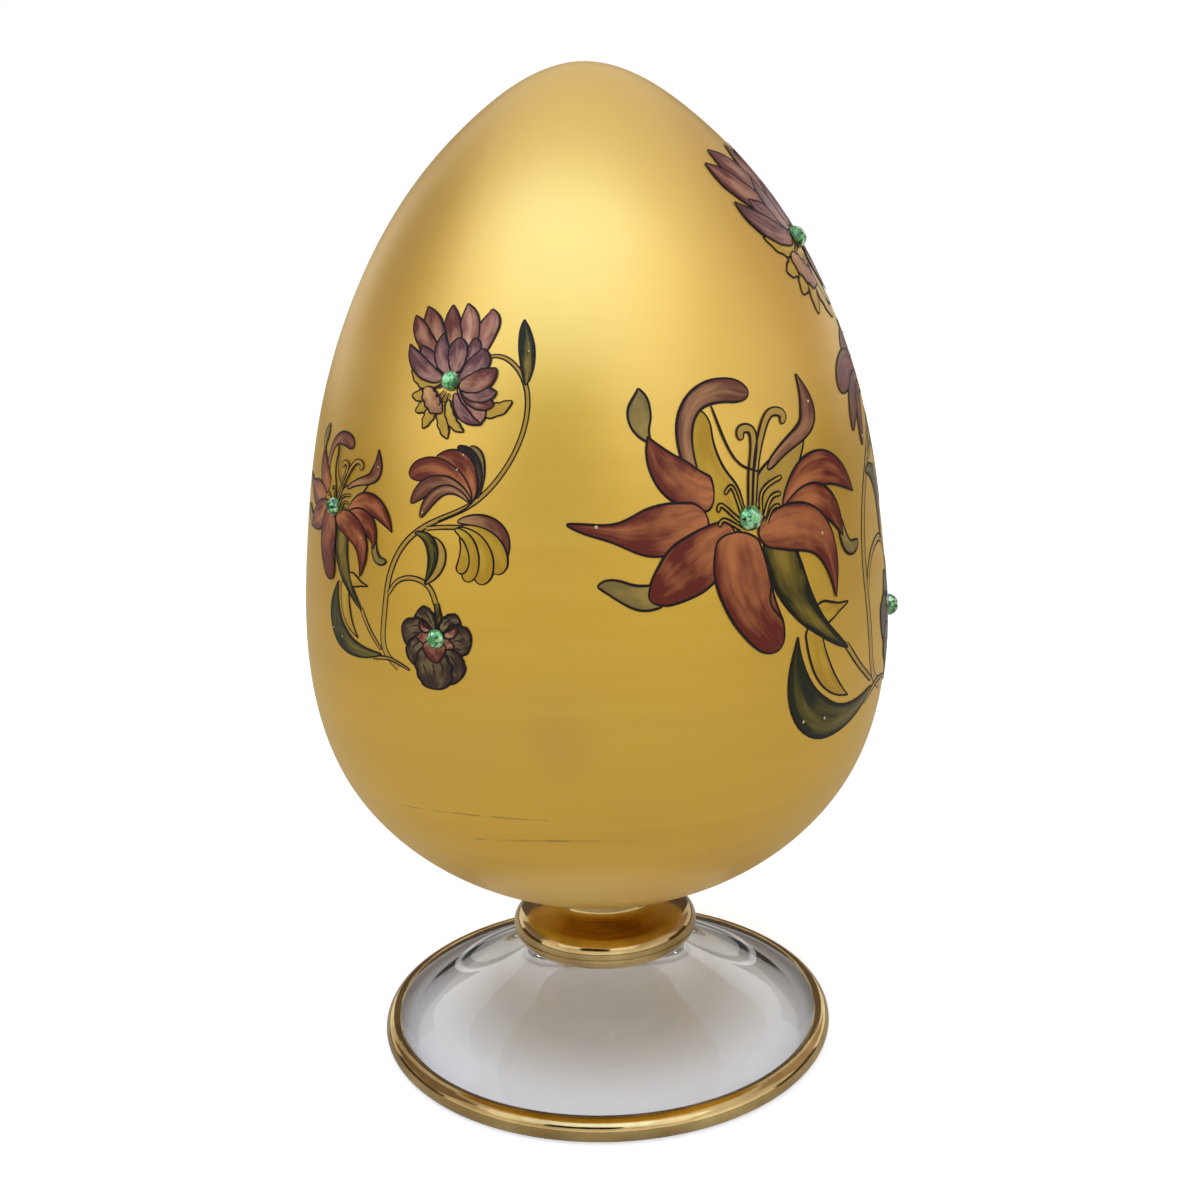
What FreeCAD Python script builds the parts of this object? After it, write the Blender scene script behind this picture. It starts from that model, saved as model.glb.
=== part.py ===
import FreeCAD, Part
import math
import os

# A blown glass egg in satin gold lacquer, on a mirror-gold collar and a clear glass foot with a
# gilded rim. Floral sprays in enamel lie on the lacquer, with a green crystal in each main flower.
# +Z is up, the origin is the middle of the foot's resting face, and the front faces -Y.

Vector = FreeCAD.Vector
Vector2d = FreeCAD.Base.Vector2d
ORIGIN = Vector(0, 0, 0)
UP = Vector(0, 0, 1)

# Driving dimensions of the egg, in millimetres.
TOTAL_HEIGHT = 206.0
EGG_DIAMETER = 121.4
EGG_CLEARANCE = 33.2
EGG_WALL = 3.0
LACQUER_THICKNESS = 0.15
LACQUER_GAP = 0.06

# The collar: a rounded bead on a short neck, gilded all over.
COLLAR_DIAMETER = 40.8
COLLAR_EDGE_HEIGHT = 7.2
COLLAR_EDGE_LEVEL = 24.4
NECK_DIAMETER = 21.6
THROAT_RISE = 3.1
GILT_THICKNESS = 0.15

# The foot: a flared disc on a ground ring, hollow below, with a rounded rim.
FOOT_DIAMETER = 100.0
STEM_SETBACK = 2.3
RIM_HEIGHT = 4.8
RIM_BAND_WIDTH = 3.4
RIM_BAND_BASE = 0.45
REST_RING_WIDTH = 3.0
HOLLOW_HEIGHT = 13.0

# The sprays: enamel on the lacquer, and crystals set on the enamel in cement.
ENAMEL_THICKNESS = 0.15
ENAMEL_GAP = 0.03
CEMENT_THICKNESS = 0.15
LARGE_CRYSTAL_DIAMETER = 4.4
SMALL_CRYSTAL_DIAMETER = 3.4

# The egg's outline from its lowest to its highest point: radius as a share of the largest
# radius, and height as a share of the egg's own height.
EGG_OUTLINE_SHARES = (
    (0.0, 0.0),
    (0.364, 0.023),
    (0.682, 0.085),
    (0.906, 0.181),
    (0.996, 0.297),
    (0.979, 0.469),
    (0.909, 0.615),
    (0.793, 0.733),
    (0.588, 0.857),
    (0.341, 0.946),
    (0.123, 0.992),
    (0.0, 1.0),
)

# How the flare of the foot and its hollow curve, between their inner and outer ends.
FLARE_STATION_SHARES = (1.0, 0.85, 0.7, 0.5, 0.3, 0.15, 0.0)
FLARE_POWER_SHARE = 1.7
HOLLOW_POWER_SHARE = 1.5

# A spray is drawn flat, in shares of its own size, from the crystal of its lily: x to the right,
# y up. Its size is about the distance from that crystal to the aster's, as a share of the egg's
# diameter, and its breadth stretches it sideways. Azimuth 0 faces the front and grows to the
# right, in degrees. The level is a share of the egg's meridian from its lowest point. The turn is
# in degrees.
SPRAYS = (
    {
        "name": "left",
        "azimuth": -55.6,
        "level_share": 0.543,
        "size_share": 0.300,
        "breadth_share": 1.08,
        "turn": 0.0,
        "crystal_diameter": SMALL_CRYSTAL_DIAMETER,
    },
    {
        "name": "right",
        "azimuth": 27.4,
        "level_share": 0.538,
        "size_share": 0.530,
        "breadth_share": 0.97,
        "turn": 13.0,
        "crystal_diameter": LARGE_CRYSTAL_DIAMETER,
    },
    {
        "name": "back",
        "azimuth": 188.0,
        "level_share": 0.543,
        "size_share": 0.300,
        "breadth_share": 1.08,
        "turn": 0.0,
        "crystal_diameter": SMALL_CRYSTAL_DIAMETER,
    },
)

# Flowers with petals round a crystal. The core is where two petals meet, the shoulder is where a
# petal is widest between core and tip, and the fullness is how far it fills its gap there. Each
# petal has a direction in degrees and the reach of its tip.
LILY_SHARES = {
    "place": (0.0, 0.0),
    "core": 0.15,
    "shoulder": 0.50,
    "fullness": 0.62,
    "petals": (
        (-52.0, 0.40),
        (-27.0, 0.46),
        (-7.0, 0.45),
        (42.0, 0.44),
        (76.0, 0.36),
        (111.0, 0.44),
        (166.0, 0.50),
        (188.0, 0.46),
        (266.0, 0.39),
    ),
}
ASTER_SHARES = {
    "place": (0.67, 0.66),
    "core": 0.18,
    "shoulder": 0.50,
    "fullness": 0.62,
    "petals": (
        (-62.0, 0.27),
        (-40.0, 0.28),
        (-15.0, 0.32),
        (20.0, 0.25),
        (48.0, 0.27),
        (76.0, 0.36),
        (98.0, 0.38),
        (125.0, 0.44),
        (147.0, 0.33),
        (176.0, 0.24),
        (212.0, 0.24),
        (250.0, 0.25),
        (276.0, 0.28),
    ),
}
PANSY_SHARES = {
    "place": (0.75, -0.57),
    "core": 0.12,
    "shoulder": 0.75,
    "fullness": 0.72,
    "petals": (
        (0.0, 0.18),
        (45.0, 0.16),
        (128.0, 0.16),
        (178.0, 0.19),
        (220.0, 0.18),
        (266.0, 0.24),
        (310.0, 0.22),
    ),
}

# Blades, which are leaves, buds and single petals: root, bend, tip and width.
CALYX_SHARES = (((0.08, -0.25), (0.075, -0.37), (0.27, -0.48), 0.070),)
LEAF_SHARES = (
    ((0.42, -0.70), (-0.12, -0.66), (0.07, -0.38), 0.11),
    ((0.63, -0.10), (0.79, -0.14), (0.68, -0.255), 0.05),
)
BUD_SHARES = (((1.045, 0.66), (1.10, 0.83), (0.93, 0.96), 0.075),)
TULIP_SHARES = (
    ((0.915, 0.15), (0.945, 0.29), (0.83, 0.37), 0.060),
    ((0.885, 0.17), (0.87, 0.32), (0.70, 0.345), 0.075),
    ((0.85, 0.17), (0.74, 0.30), (0.54, 0.21), 0.075),
    ((0.83, 0.13), (0.69, 0.21), (0.60, 0.03), 0.060),
)
PALMETTE_SHARES = (
    ((0.90, -0.01), (1.04, 0.03), (1.08, -0.15), 0.050),
    ((0.87, -0.035), (1.03, -0.06), (1.03, -0.24), 0.060),
    ((0.85, -0.06), (0.97, -0.12), (0.95, -0.29), 0.055),
    ((0.83, -0.09), (0.90, -0.15), (0.86, -0.27), 0.050),
)

# Stems: points along the middle line, from the root outwards.
STEM_SHARES = (
    (
        (0.46, -0.66),
        (0.44, -0.45),
        (0.50, -0.20),
        (0.68, -0.02),
        (0.90, 0.09),
        (1.04, 0.30),
        (1.06, 0.50),
        (1.01, 0.66),
        (0.93, 0.75),
    ),
    (
        (0.468, -0.40),
        (0.50, -0.335),
        (0.60, -0.295),
        (0.70, -0.335),
        (0.75, -0.43),
    ),
    ((0.285, -0.50), (0.34, -0.575), (0.40, -0.65)),
    ((0.46, -0.70), (0.51, -0.73), (0.57, -0.745)),
    ((0.68, -0.055), (0.76, -0.045), (0.82, -0.065)),
)
STEM_WIDTH_SHARE = 0.020
STEM_STATIONS = 12
BLADE_STATIONS = 5
BLADE_ROUNDNESS_SHARE = 0.8

# A crystal: flat back, low girdle and two rings of facets under a table, in shares of its diameter.
CRYSTAL_SIDES = 8
CRYSTAL_SHARES = {
    "height": 0.42,
    "lower_root": 0.53,
    "lower_top": 0.33,
    "upper_root": 0.60,
    "table": 0.20,
}

PARTS_FOLDER = "parts"

# Sizes that follow from the driving ones.
EGG_HEIGHT = TOTAL_HEIGHT - EGG_CLEARANCE
EGG_RADIUS = EGG_DIAMETER / 2
GLASS_INSET = LACQUER_THICKNESS + LACQUER_GAP
COLLAR_EDGE_RADIUS = COLLAR_EDGE_HEIGHT / 2
COLLAR_EDGE_MIDDLE = COLLAR_DIAMETER / 2 - COLLAR_EDGE_RADIUS
NECK_RADIUS = NECK_DIAMETER / 2
STEM_RADIUS = COLLAR_EDGE_MIDDLE - STEM_SETBACK
STEM_TOP = COLLAR_EDGE_LEVEL - COLLAR_EDGE_RADIUS
RIM_RADIUS = RIM_HEIGHT / 2
RIM_MIDDLE = FOOT_DIAMETER / 2 - RIM_RADIUS
HOLLOW_RADIUS = RIM_MIDDLE - REST_RING_WIDTH
CEMENT_LIFT = ENAMEL_THICKNESS + ENAMEL_GAP
SHOULDER_TURN = math.radians(68.0)
RIM_EDGE_TURN = math.radians(-60.0)


def line(start, end):
    """A straight edge in the XZ plane between two (radius, height) points."""
    return Part.LineSegment(Vector(start[0], 0, start[1]), Vector(end[0], 0, end[1])).toShape()


def lines(*points):
    """Straight edges from each (radius, height) point to the next."""
    return [line(start, end) for start, end in zip(points, points[1:])]


def on_circle(centre, radius, turn):
    """The (radius, height) point of a circle at an angle above the outward direction."""
    return (centre[0] + radius * math.cos(turn), centre[1] + radius * math.sin(turn))


def arc(centre, radius, start, end):
    """A round edge in the XZ plane between two angles above the outward direction."""
    points = [on_circle(centre, radius, turn) for turn in (start, (start + end) / 2, end)]
    return Part.Arc(*[Vector(r, 0, z) for r, z in points]).toShape()


def smooth(points, start, end):
    """A smooth edge in the XZ plane through (radius, height) points, with its end directions."""
    curve = Part.BSplineCurve()
    through = [Vector(r, 0, z) for r, z in points]
    start, end = Vector(*start).normalize(), Vector(*end).normalize()
    curve.interpolate(through, InitialTangent=start, FinalTangent=end, Scale=False)
    return curve.toShape()


def revolved(edges):
    """The solid of revolution about Z of the closed outline that the edges make."""
    face = Part.Face(Part.Wire(edges))
    return face.revolve(ORIGIN, UP, 360)


def level_ends(points):
    """A smooth curve through points, that leaves and meets the axis level."""
    curve = Part.BSplineCurve()
    curve.interpolate(points, InitialTangent=Vector(1, 0, 0), FinalTangent=Vector(-1, 0, 0), Scale=False)
    return curve


def meridian(inset):
    """The egg's outline in the XZ plane from bottom to top, set in along its normals."""
    through = [
        Vector(radius * EGG_RADIUS, 0, EGG_CLEARANCE + height * EGG_HEIGHT)
        for radius, height in EGG_OUTLINE_SHARES
    ]
    outline = level_ends(through)
    moved = []
    for point in through:
        along = outline.tangent(outline.parameter(point))[0]
        moved.append(point + Vector(-along.z, 0, along.x) * inset)
    return level_ends(moved)


def egg_solid(inset):
    """The whole space inside the egg's outline, set in by a distance."""
    curve = meridian(inset)
    top, bottom = curve.EndPoint, curve.StartPoint
    return revolved([curve.toShape(), line((0, top.z), (0, bottom.z))])


def egg_shell():
    """The blown glass egg, closed at the top and sealed on the neck."""
    return egg_solid(GLASS_INSET).cut(egg_solid(GLASS_INSET + EGG_WALL))


def lacquer_coat():
    """The satin gold lacquer on the egg, open where the neck passes."""
    skin = egg_solid(0).cut(egg_solid(LACQUER_THICKNESS))
    return skin.cut(Part.makeCylinder(NECK_RADIUS, EGG_CLEARANCE + NECK_RADIUS))


def collar_form(skin):
    """The bead and neck, set in by a skin, from the foot up to the egg's glass."""
    centre = (COLLAR_EDGE_MIDDLE, COLLAR_EDGE_LEVEL)
    radius = COLLAR_EDGE_RADIUS - skin
    neck = NECK_RADIUS - skin
    shoulder = on_circle(centre, radius, SHOULDER_TURN)
    throat = (neck, STEM_TOP + COLLAR_EDGE_HEIGHT + THROAT_RISE)
    neck_top = (neck, EGG_CLEARANCE + NECK_RADIUS)
    slope = (-math.sin(SHOULDER_TURN), 0, math.cos(SHOULDER_TURN))
    base = lines((0, neck_top[1]), (0, STEM_TOP), (STEM_RADIUS, STEM_TOP))
    if skin:
        base += lines((STEM_RADIUS, STEM_TOP), (STEM_RADIUS, STEM_TOP + skin))
    base += lines((STEM_RADIUS, STEM_TOP + skin), (centre[0], STEM_TOP + skin))
    bead = arc(centre, radius, math.radians(-90.0), SHOULDER_TURN)
    edges = base + [bead, smooth([shoulder, throat], slope, (0, 0, 1))]
    edges += lines(throat, neck_top, (0, neck_top[1]))
    return revolved(edges).cut(egg_solid(GLASS_INSET))


def collar_bead():
    """The glass collar between the egg and the foot."""
    return collar_form(GILT_THICKNESS)


def collar_gilding():
    """The mirror-gold skin on the collar and its neck."""
    return collar_form(0).cut(collar_form(GILT_THICKNESS))


def flare_level(radius, rim_top):
    """The height of the foot's upper surface at a radius, rising from the rim's top to the stem."""
    share = (RIM_MIDDLE - radius) / (RIM_MIDDLE - STEM_RADIUS)
    return rim_top + (STEM_TOP - rim_top) * share ** FLARE_POWER_SHARE


def hollow_level(radius):
    """The height of the hollow under the foot at a radius."""
    return HOLLOW_HEIGHT * (1 - (radius / HOLLOW_RADIUS) ** HOLLOW_POWER_SHARE)


def foot_form(skin):
    """The foot with its rim set in by a skin."""
    centre = (RIM_MIDDLE, RIM_RADIUS)
    radius = RIM_RADIUS - skin
    rim_top = RIM_RADIUS + radius
    span = RIM_MIDDLE - STEM_RADIUS
    flare_radii = [RIM_MIDDLE - share * span for share in FLARE_STATION_SHARES]
    flare_fall = (STEM_TOP - rim_top) * FLARE_POWER_SHARE / span
    hollow_radii = [share * HOLLOW_RADIUS for share in FLARE_STATION_SHARES]
    hollow_rise = HOLLOW_HEIGHT * HOLLOW_POWER_SHARE / HOLLOW_RADIUS
    edges = lines((0, HOLLOW_HEIGHT), (0, STEM_TOP), (STEM_RADIUS, STEM_TOP))
    flare = [(r, flare_level(r, rim_top)) for r in flare_radii]
    edges.append(smooth(flare, (1, 0, -flare_fall), (1, 0, 0)))
    edges.append(arc(centre, radius, math.radians(90.0), RIM_EDGE_TURN))
    edges += lines(on_circle(centre, radius, RIM_EDGE_TURN), (RIM_MIDDLE, 0), (HOLLOW_RADIUS, 0))
    hollow = [(r, hollow_level(r)) for r in hollow_radii]
    edges.append(smooth(hollow, (-1, 0, hollow_rise), (-1, 0, 0)))
    return revolved(edges)


def foot():
    """The clear glass foot, hollow below."""
    return foot_form(GILT_THICKNESS)


def rim_gilding():
    """The mirror-gold band round the foot's rim."""
    base = Vector(0, 0, RIM_BAND_BASE)
    beyond = Part.makeCylinder(FOOT_DIAMETER, STEM_TOP, base)
    within = Part.makeCylinder(FOOT_DIAMETER / 2 - RIM_BAND_WIDTH, STEM_TOP, base)
    return foot_form(0).common(beyond.cut(within)).cut(foot_form(GILT_THICKNESS))


def bend(start, middle, end=None):
    """The poles of a curve from start to end through a middle point, or of a straight line."""
    if end is None:
        return [start, middle]
    return [start, middle * 2 - (start + end) * 0.5, end]


class Spray:
    """One spray's place on the egg, and the surface that its enamel lies on."""

    def __init__(self, name, azimuth, level_share, size_share, breadth_share, turn, crystal_diameter):
        self.name = name
        self.azimuth = azimuth
        self.size = size_share * EGG_DIAMETER
        self.breadth_share = breadth_share
        self.turn = math.radians(turn)
        self.crystal_diameter = crystal_diameter
        self.outline = meridian(-ENAMEL_GAP)
        self.surface = Part.SurfaceOfRevolution(self.outline, ORIGIN, UP)
        self.level = level_share * self.outline.LastParameter

    def on_egg(self, place):
        """The surface's own coordinates of a place that is drawn in shares of the spray."""
        across = place[0] * self.breadth_share
        x = across * math.cos(self.turn) - place[1] * math.sin(self.turn)
        y = across * math.sin(self.turn) + place[1] * math.cos(self.turn)
        level = self.level + y * self.size
        girth_radius = self.outline.value(level).x
        return math.pi + x * self.size / girth_radius, level

    def edges(self, lift, sides):
        """The sides of an outline as edges on the egg, lifted off the enamel's own seat."""
        outline = meridian(-ENAMEL_GAP - lift)
        surface = Part.SurfaceOfRevolution(outline, ORIGIN, UP)
        stretch = outline.LastParameter / self.outline.LastParameter
        edges = []
        for side in sides:
            through = [self.on_egg(place) for place in side]
            through = [Vector2d(u, v * stretch) for u, v in through]
            for first in range(0, len(through) - 1, 2):
                curve = Part.Geom2d.BezierCurve2d()
                curve.setPoles(bend(*through[first : first + 3]))
                edges.append(curve.toShape(surface))
        return surface, edges

    def turned(self, shape):
        """A shape made opposite the seam of the surface, turned to the spray's azimuth."""
        shape.rotate(ORIGIN, UP, 90.0 + self.azimuth)
        return shape

    def enamel(self, sides):
        """A thin solid on the egg inside a closed outline, whose sides are lists of places."""
        faces, rings = [], []
        for lift in (0, ENAMEL_THICKNESS):
            surface, edges = self.edges(lift, sides)
            face = Part.Face(surface, Part.Wire(edges))
            face.validate()
            faces.append(face)
            rings.append(edges)
        walls = [Part.makeRuledSurface(lower, upper) for lower, upper in zip(*rings)]
        shell = Part.Shell(faces + walls)
        shell.sewShape()
        return self.turned(Part.Solid(shell))


def polar(centre, direction, distance):
    """The place at a distance from a centre, in a direction given in degrees."""
    turn = math.radians(direction)
    return (centre[0] + distance * math.cos(turn), centre[1] + distance * math.sin(turn))


def flower(spray, shares):
    """A flower's enamel: petals round a centre, that meet in valleys at the core."""
    petals, place, core = shares["petals"], shares["place"], shares["core"]
    sides = []
    for index, (direction, reach) in enumerate(petals):
        last = index == len(petals) - 1
        before = petals[index - 1][0] - (0.0 if index else 360.0)
        after = petals[0][0] + 360.0 if last else petals[index + 1][0]
        shoulder = core + (reach - core) * shares["shoulder"]
        outline = []
        for neighbour in (before, after):
            half_gap = (neighbour - direction) / 2
            valley = polar(place, direction + half_gap, core)
            side = polar(place, direction + half_gap * shares["fullness"], shoulder)
            outline.append([valley, side])
        tip = polar(place, direction, reach)
        sides.append(outline[0] + [tip] + outline[1][::-1])
    return spray.enamel(sides)


def blade(spray, shares):
    """A leaf, bud or single petal, pointed at both ends, along a bent middle line."""
    root, middle, tip, width = shares
    midrib = Part.Geom2d.BezierCurve2d()
    midrib.setPoles([Vector2d(*place) for place in (root, middle, tip)])
    left, right = [], []
    for station in range(1, BLADE_STATIONS + 1):
        t = station / (BLADE_STATIONS + 1)
        point, along = midrib.value(t), midrib.tangent(t)
        half = width / 2 * math.sin(math.pi * t) ** BLADE_ROUNDNESS_SHARE
        left.append((point.x - along.y * half, point.y + along.x * half))
        right.append((point.x + along.y * half, point.y - along.x * half))
    return spray.enamel([[root] + right + [tip], [tip] + left[::-1] + [root]])


def blades(spray, shares):
    """The blades of one motif as a group of solids."""
    return Part.makeCompound([blade(spray, each) for each in shares])


def stem(spray, places):
    """A narrow ribbon of enamel along a smooth line through places."""
    middle = Part.Geom2d.BSplineCurve2d()
    middle.interpolate(Points=[Vector2d(x, y) for x, y in places])
    left, right = [], []
    half = STEM_WIDTH_SHARE / 2
    for station in range(STEM_STATIONS + 1):
        t = middle.LastParameter * station / STEM_STATIONS
        point, along = middle.value(t), middle.tangent(t)
        left.append((point.x - along.y * half, point.y + along.x * half))
        right.append((point.x + along.y * half, point.y - along.x * half))
    return spray.enamel([right, [right[-1], left[-1]], left[::-1], [left[0], right[0]]])


def polygon(radius, level, start):
    """A flat ring of corners about Z, that begins at an angle."""
    corners = []
    for side in range(CRYSTAL_SIDES + 1):
        angle = start + math.tau * side / CRYSTAL_SIDES
        corners.append(Vector(radius * math.cos(angle), radius * math.sin(angle), level))
    return Part.makePolygon(corners)


def facets(root, top, height, start):
    """A tapered block, whose sides cut one ring of facets on a crystal."""
    return Part.makeLoft([polygon(root, 0, start), polygon(top, height, start)], True, True)


def crystal(diameter):
    """A round flat-backed stone with two rings of facets under its table."""
    size = {key: share * diameter for key, share in CRYSTAL_SHARES.items()}
    blank = Part.makeCylinder(diameter / 2, size["height"])
    lower = facets(size["lower_root"], size["lower_top"], size["height"], 0)
    upper = facets(size["upper_root"], size["table"], size["height"], math.pi / CRYSTAL_SIDES)
    return blank.common(lower).common(upper)


def set_on(spray, place, shape, lift):
    """Stands a shape made on Z on the egg at a place of the spray, lifted off the enamel's seat."""
    u, v = spray.on_egg(place)
    point = spray.surface.value(u, v)
    outward = spray.surface.normal(u, v)
    if outward.x > 0:
        outward = outward * -1
    shape.Placement = FreeCAD.Placement(point + outward * lift, FreeCAD.Rotation(UP, outward))
    return spray.turned(shape)


def spray_parts(spray):
    """The enamel, the crystals and the cement of one spray, by node name."""
    parts = {
        "lily": flower(spray, LILY_SHARES),
        "aster": flower(spray, ASTER_SHARES),
        "pansy": flower(spray, PANSY_SHARES),
        "calyx": blades(spray, CALYX_SHARES),
        "leaf": blades(spray, LEAF_SHARES),
        "bud": blades(spray, BUD_SHARES),
        "tulip": blades(spray, TULIP_SHARES),
        "palmette": blades(spray, PALMETTE_SHARES),
        "stems": Part.makeCompound([stem(spray, places) for places in STEM_SHARES]),
    }
    flowers = {"lily": LILY_SHARES, "aster": ASTER_SHARES, "pansy": PANSY_SHARES}
    pads = []
    for flower_name, shares in flowers.items():
        pad = Part.makeCylinder(spray.crystal_diameter / 2, CEMENT_THICKNESS)
        pads.append(set_on(spray, shares["place"], pad, CEMENT_LIFT))
        stone = crystal(spray.crystal_diameter)
        stone = set_on(spray, shares["place"], stone, CEMENT_LIFT + CEMENT_THICKNESS)
        parts[f"{flower_name}_crystal"] = stone
    parts["cement"] = Part.makeCompound(pads)
    return {f"{spray.name}_{name}": shape for name, shape in parts.items()}


def main():
    parts = {
        "egg_shell": egg_shell(),
        "lacquer_coat": lacquer_coat(),
        "collar_bead": collar_bead(),
        "collar_gilding": collar_gilding(),
        "foot": foot(),
        "rim_gilding": rim_gilding(),
    }
    for values in SPRAYS:
        parts.update(spray_parts(Spray(**values)))
    os.makedirs(PARTS_FOLDER, exist_ok=True)
    for name, shape in parts.items():
        shape.exportStep(os.path.join(PARTS_FOLDER, name + ".step"))
        print(f"{name}: {len(shape.Solids)} solids, valid {shape.isValid()}, {shape.Volume:.3f} mm3")


main()
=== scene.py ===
import math
import random

import bmesh
import bpy
import numpy as np
from mathutils import Matrix, Vector

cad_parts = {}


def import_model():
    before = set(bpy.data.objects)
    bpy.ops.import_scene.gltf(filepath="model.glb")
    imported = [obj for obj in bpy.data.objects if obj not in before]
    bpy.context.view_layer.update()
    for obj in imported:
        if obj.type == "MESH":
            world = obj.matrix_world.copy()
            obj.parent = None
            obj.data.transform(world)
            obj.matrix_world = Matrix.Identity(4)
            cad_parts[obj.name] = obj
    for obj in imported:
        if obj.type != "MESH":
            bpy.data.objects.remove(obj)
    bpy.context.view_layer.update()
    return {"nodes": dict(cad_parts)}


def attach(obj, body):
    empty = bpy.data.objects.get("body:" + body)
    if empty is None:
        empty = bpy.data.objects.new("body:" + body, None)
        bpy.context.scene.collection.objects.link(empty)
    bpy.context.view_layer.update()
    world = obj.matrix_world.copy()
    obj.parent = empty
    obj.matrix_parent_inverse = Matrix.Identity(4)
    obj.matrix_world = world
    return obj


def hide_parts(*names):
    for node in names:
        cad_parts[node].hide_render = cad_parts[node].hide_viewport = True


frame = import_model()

# A blown glass egg in satin gold lacquer, on a mirror-gold collar and a clear glass foot with a
# gilded rim. Floral sprays in enamel lie on the lacquer, with a green crystal in each main flower.
# Everything is in metres, in the frame of the solids: +Z is up and the front faces -Y.

# The egg, as in the solids.
TOTAL_HEIGHT = 0.206
EGG_DIAMETER = 0.1214
EGG_CLEARANCE = 0.0332
EGG_OUTLINE_SHARES = (
    (0.0, 0.0),
    (0.364, 0.023),
    (0.682, 0.085),
    (0.906, 0.181),
    (0.996, 0.297),
    (0.979, 0.469),
    (0.909, 0.615),
    (0.793, 0.733),
    (0.588, 0.857),
    (0.341, 0.946),
    (0.123, 0.992),
    (0.0, 1.0),
)
NECK_DIAMETER = 0.0216
NECK_TOP_RISE = 0.0009
ENAMEL_GAP = 0.00003

# The collar, as in the solids.
COLLAR_DIAMETER = 0.0408
COLLAR_EDGE_HEIGHT = 0.0072
COLLAR_EDGE_LEVEL = 0.0244
THROAT_RISE = 0.0031
STEM_SETBACK = 0.0023
SHOULDER_TURN = math.radians(68.0)

# The foot, as in the solids.
FOOT_DIAMETER = 0.100
RIM_HEIGHT = 0.0048
RIM_BAND_WIDTH = 0.0034
RIM_BAND_BASE = 0.00045
REST_RING_WIDTH = 0.003
HOLLOW_HEIGHT = 0.013
GILT_THICKNESS = 0.00015
GILT_SKIN_SHARE = 0.8
FLARE_POWER_SHARE = 1.7
HOLLOW_POWER_SHARE = 1.5
RIM_EDGE_TURN = math.radians(-60.0)

EGG_RADIUS = EGG_DIAMETER / 2
EGG_HEIGHT = TOTAL_HEIGHT - EGG_CLEARANCE
NECK_RADIUS = NECK_DIAMETER / 2
COLLAR_EDGE_RADIUS = COLLAR_EDGE_HEIGHT / 2
COLLAR_EDGE_MIDDLE = COLLAR_DIAMETER / 2 - COLLAR_EDGE_RADIUS
STEM_RADIUS = COLLAR_EDGE_MIDDLE - STEM_SETBACK
STEM_TOP = COLLAR_EDGE_LEVEL - COLLAR_EDGE_RADIUS
RIM_RADIUS = RIM_HEIGHT / 2
RIM_MIDDLE = FOOT_DIAMETER / 2 - RIM_RADIUS
HOLLOW_RADIUS = RIM_MIDDLE - REST_RING_WIDTH

# The sprays, as in the solids: drawn flat in shares of their own size from the lily's crystal.
SMALL_SPRAY = {
    "level_share": 0.543,
    "size_share": 0.300,
    "breadth_share": 1.08,
    "turn": 0.0,
    "crystal_diameter": 0.0034,
    "ink_width": 0.00033,
}
LARGE_SPRAY = {
    "level_share": 0.538,
    "size_share": 0.530,
    "breadth_share": 0.97,
    "turn": 13.0,
    "crystal_diameter": 0.0044,
    "ink_width": 0.00047,
}
SPRAYS = (("left", -55.6, SMALL_SPRAY), ("right", 27.4, LARGE_SPRAY), ("back", 188.0, SMALL_SPRAY))

# The crystals: places on the spray, and rings from the base up as (radius, height, turn) shares.
CRYSTAL_PLACE_SHARES = {"lily": (0.0, 0.0), "aster": (0.67, 0.66), "pansy": (0.75, -0.57)}
CRYSTAL_SIDES = 12
CRYSTAL_RING_SHARES = ((0.5, 0.0, 0.0), (0.5, 0.10, 0.0), (0.38, 0.28, 0.5), (0.22, 0.40, 0.0))
CRYSTAL_LIFT = 0.00033

# How far each coat of paint stands off the lacquer: a petal lies over the ink of the one before.
LAYER_RISE = 0.0000085
INK_RISE = 0.0000015
INK_CROWN = 0.000005
PETAL_CROWN = 0.000001
FIRST_LAYERS = {"lily": 9, "aster": 9, "pansy": 9}
FIRST_LAYER = 6

# A petal's outline by hand: rounded ends, a slow wave and, on some paints, a fine frill.
ROUND_TIP_SHARE = 0.14
ROUND_ROOT_SHARE = 0.08
WAVE_SHARE = 0.05
WAVES = 5.0
FRILLS = 26.0
FRILL_SHARES = {"mauve": 0.04, "plum": 0.02, "salmon": 0.02, "ruff": 0.09, "blush": 0.10}

# A line of ink: thin at its ends, a little uneven, and a low ridge as (place across, rise) shares.
INK_END_SHARE = 0.62
INK_SWELL_SHARE = 0.5
INK_WAVE_SHARE = 0.12
INK_WAVES = 9.0
INK_RIDGE_SHARES = ((1, 0), (0.5, 0.8), (0, 1), (-0.5, 0.8), (-1, 0))
OUTLINE_SHARES = {"mauve": 1.5}
STEM_INK_SHARE = 0.85
STEM_TIP_SHARE = 0.08

# The veins of a petal, from root to tip.
VEIN_COUNTS = {"mauve": 3}
VEIN_START_SHARE = 0.30
VEIN_START_SPREAD_SHARE = 0.2
VEIN_END_SHARE = 0.66
VEIN_WIDTH_SHARE = 0.8

# Tiny round bubbles of the glaze, as places on the spray; their pale cream colour is a painted highlight.
BLISTER_PLACE_SHARES = (
    (0.25, -0.13), (-0.43, 0.10), (0.335, 0.23), (0.81, 0.31), (0.79, 0.24),
    (0.635, 0.03), (0.12, -0.65), (0.03, -0.62), (1.00, 0.80),
)
BLISTER_STEPS = 8
BLISTER_RADIUS_SHARE = 0.0045
BLISTER_SEED = 0.5

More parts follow.
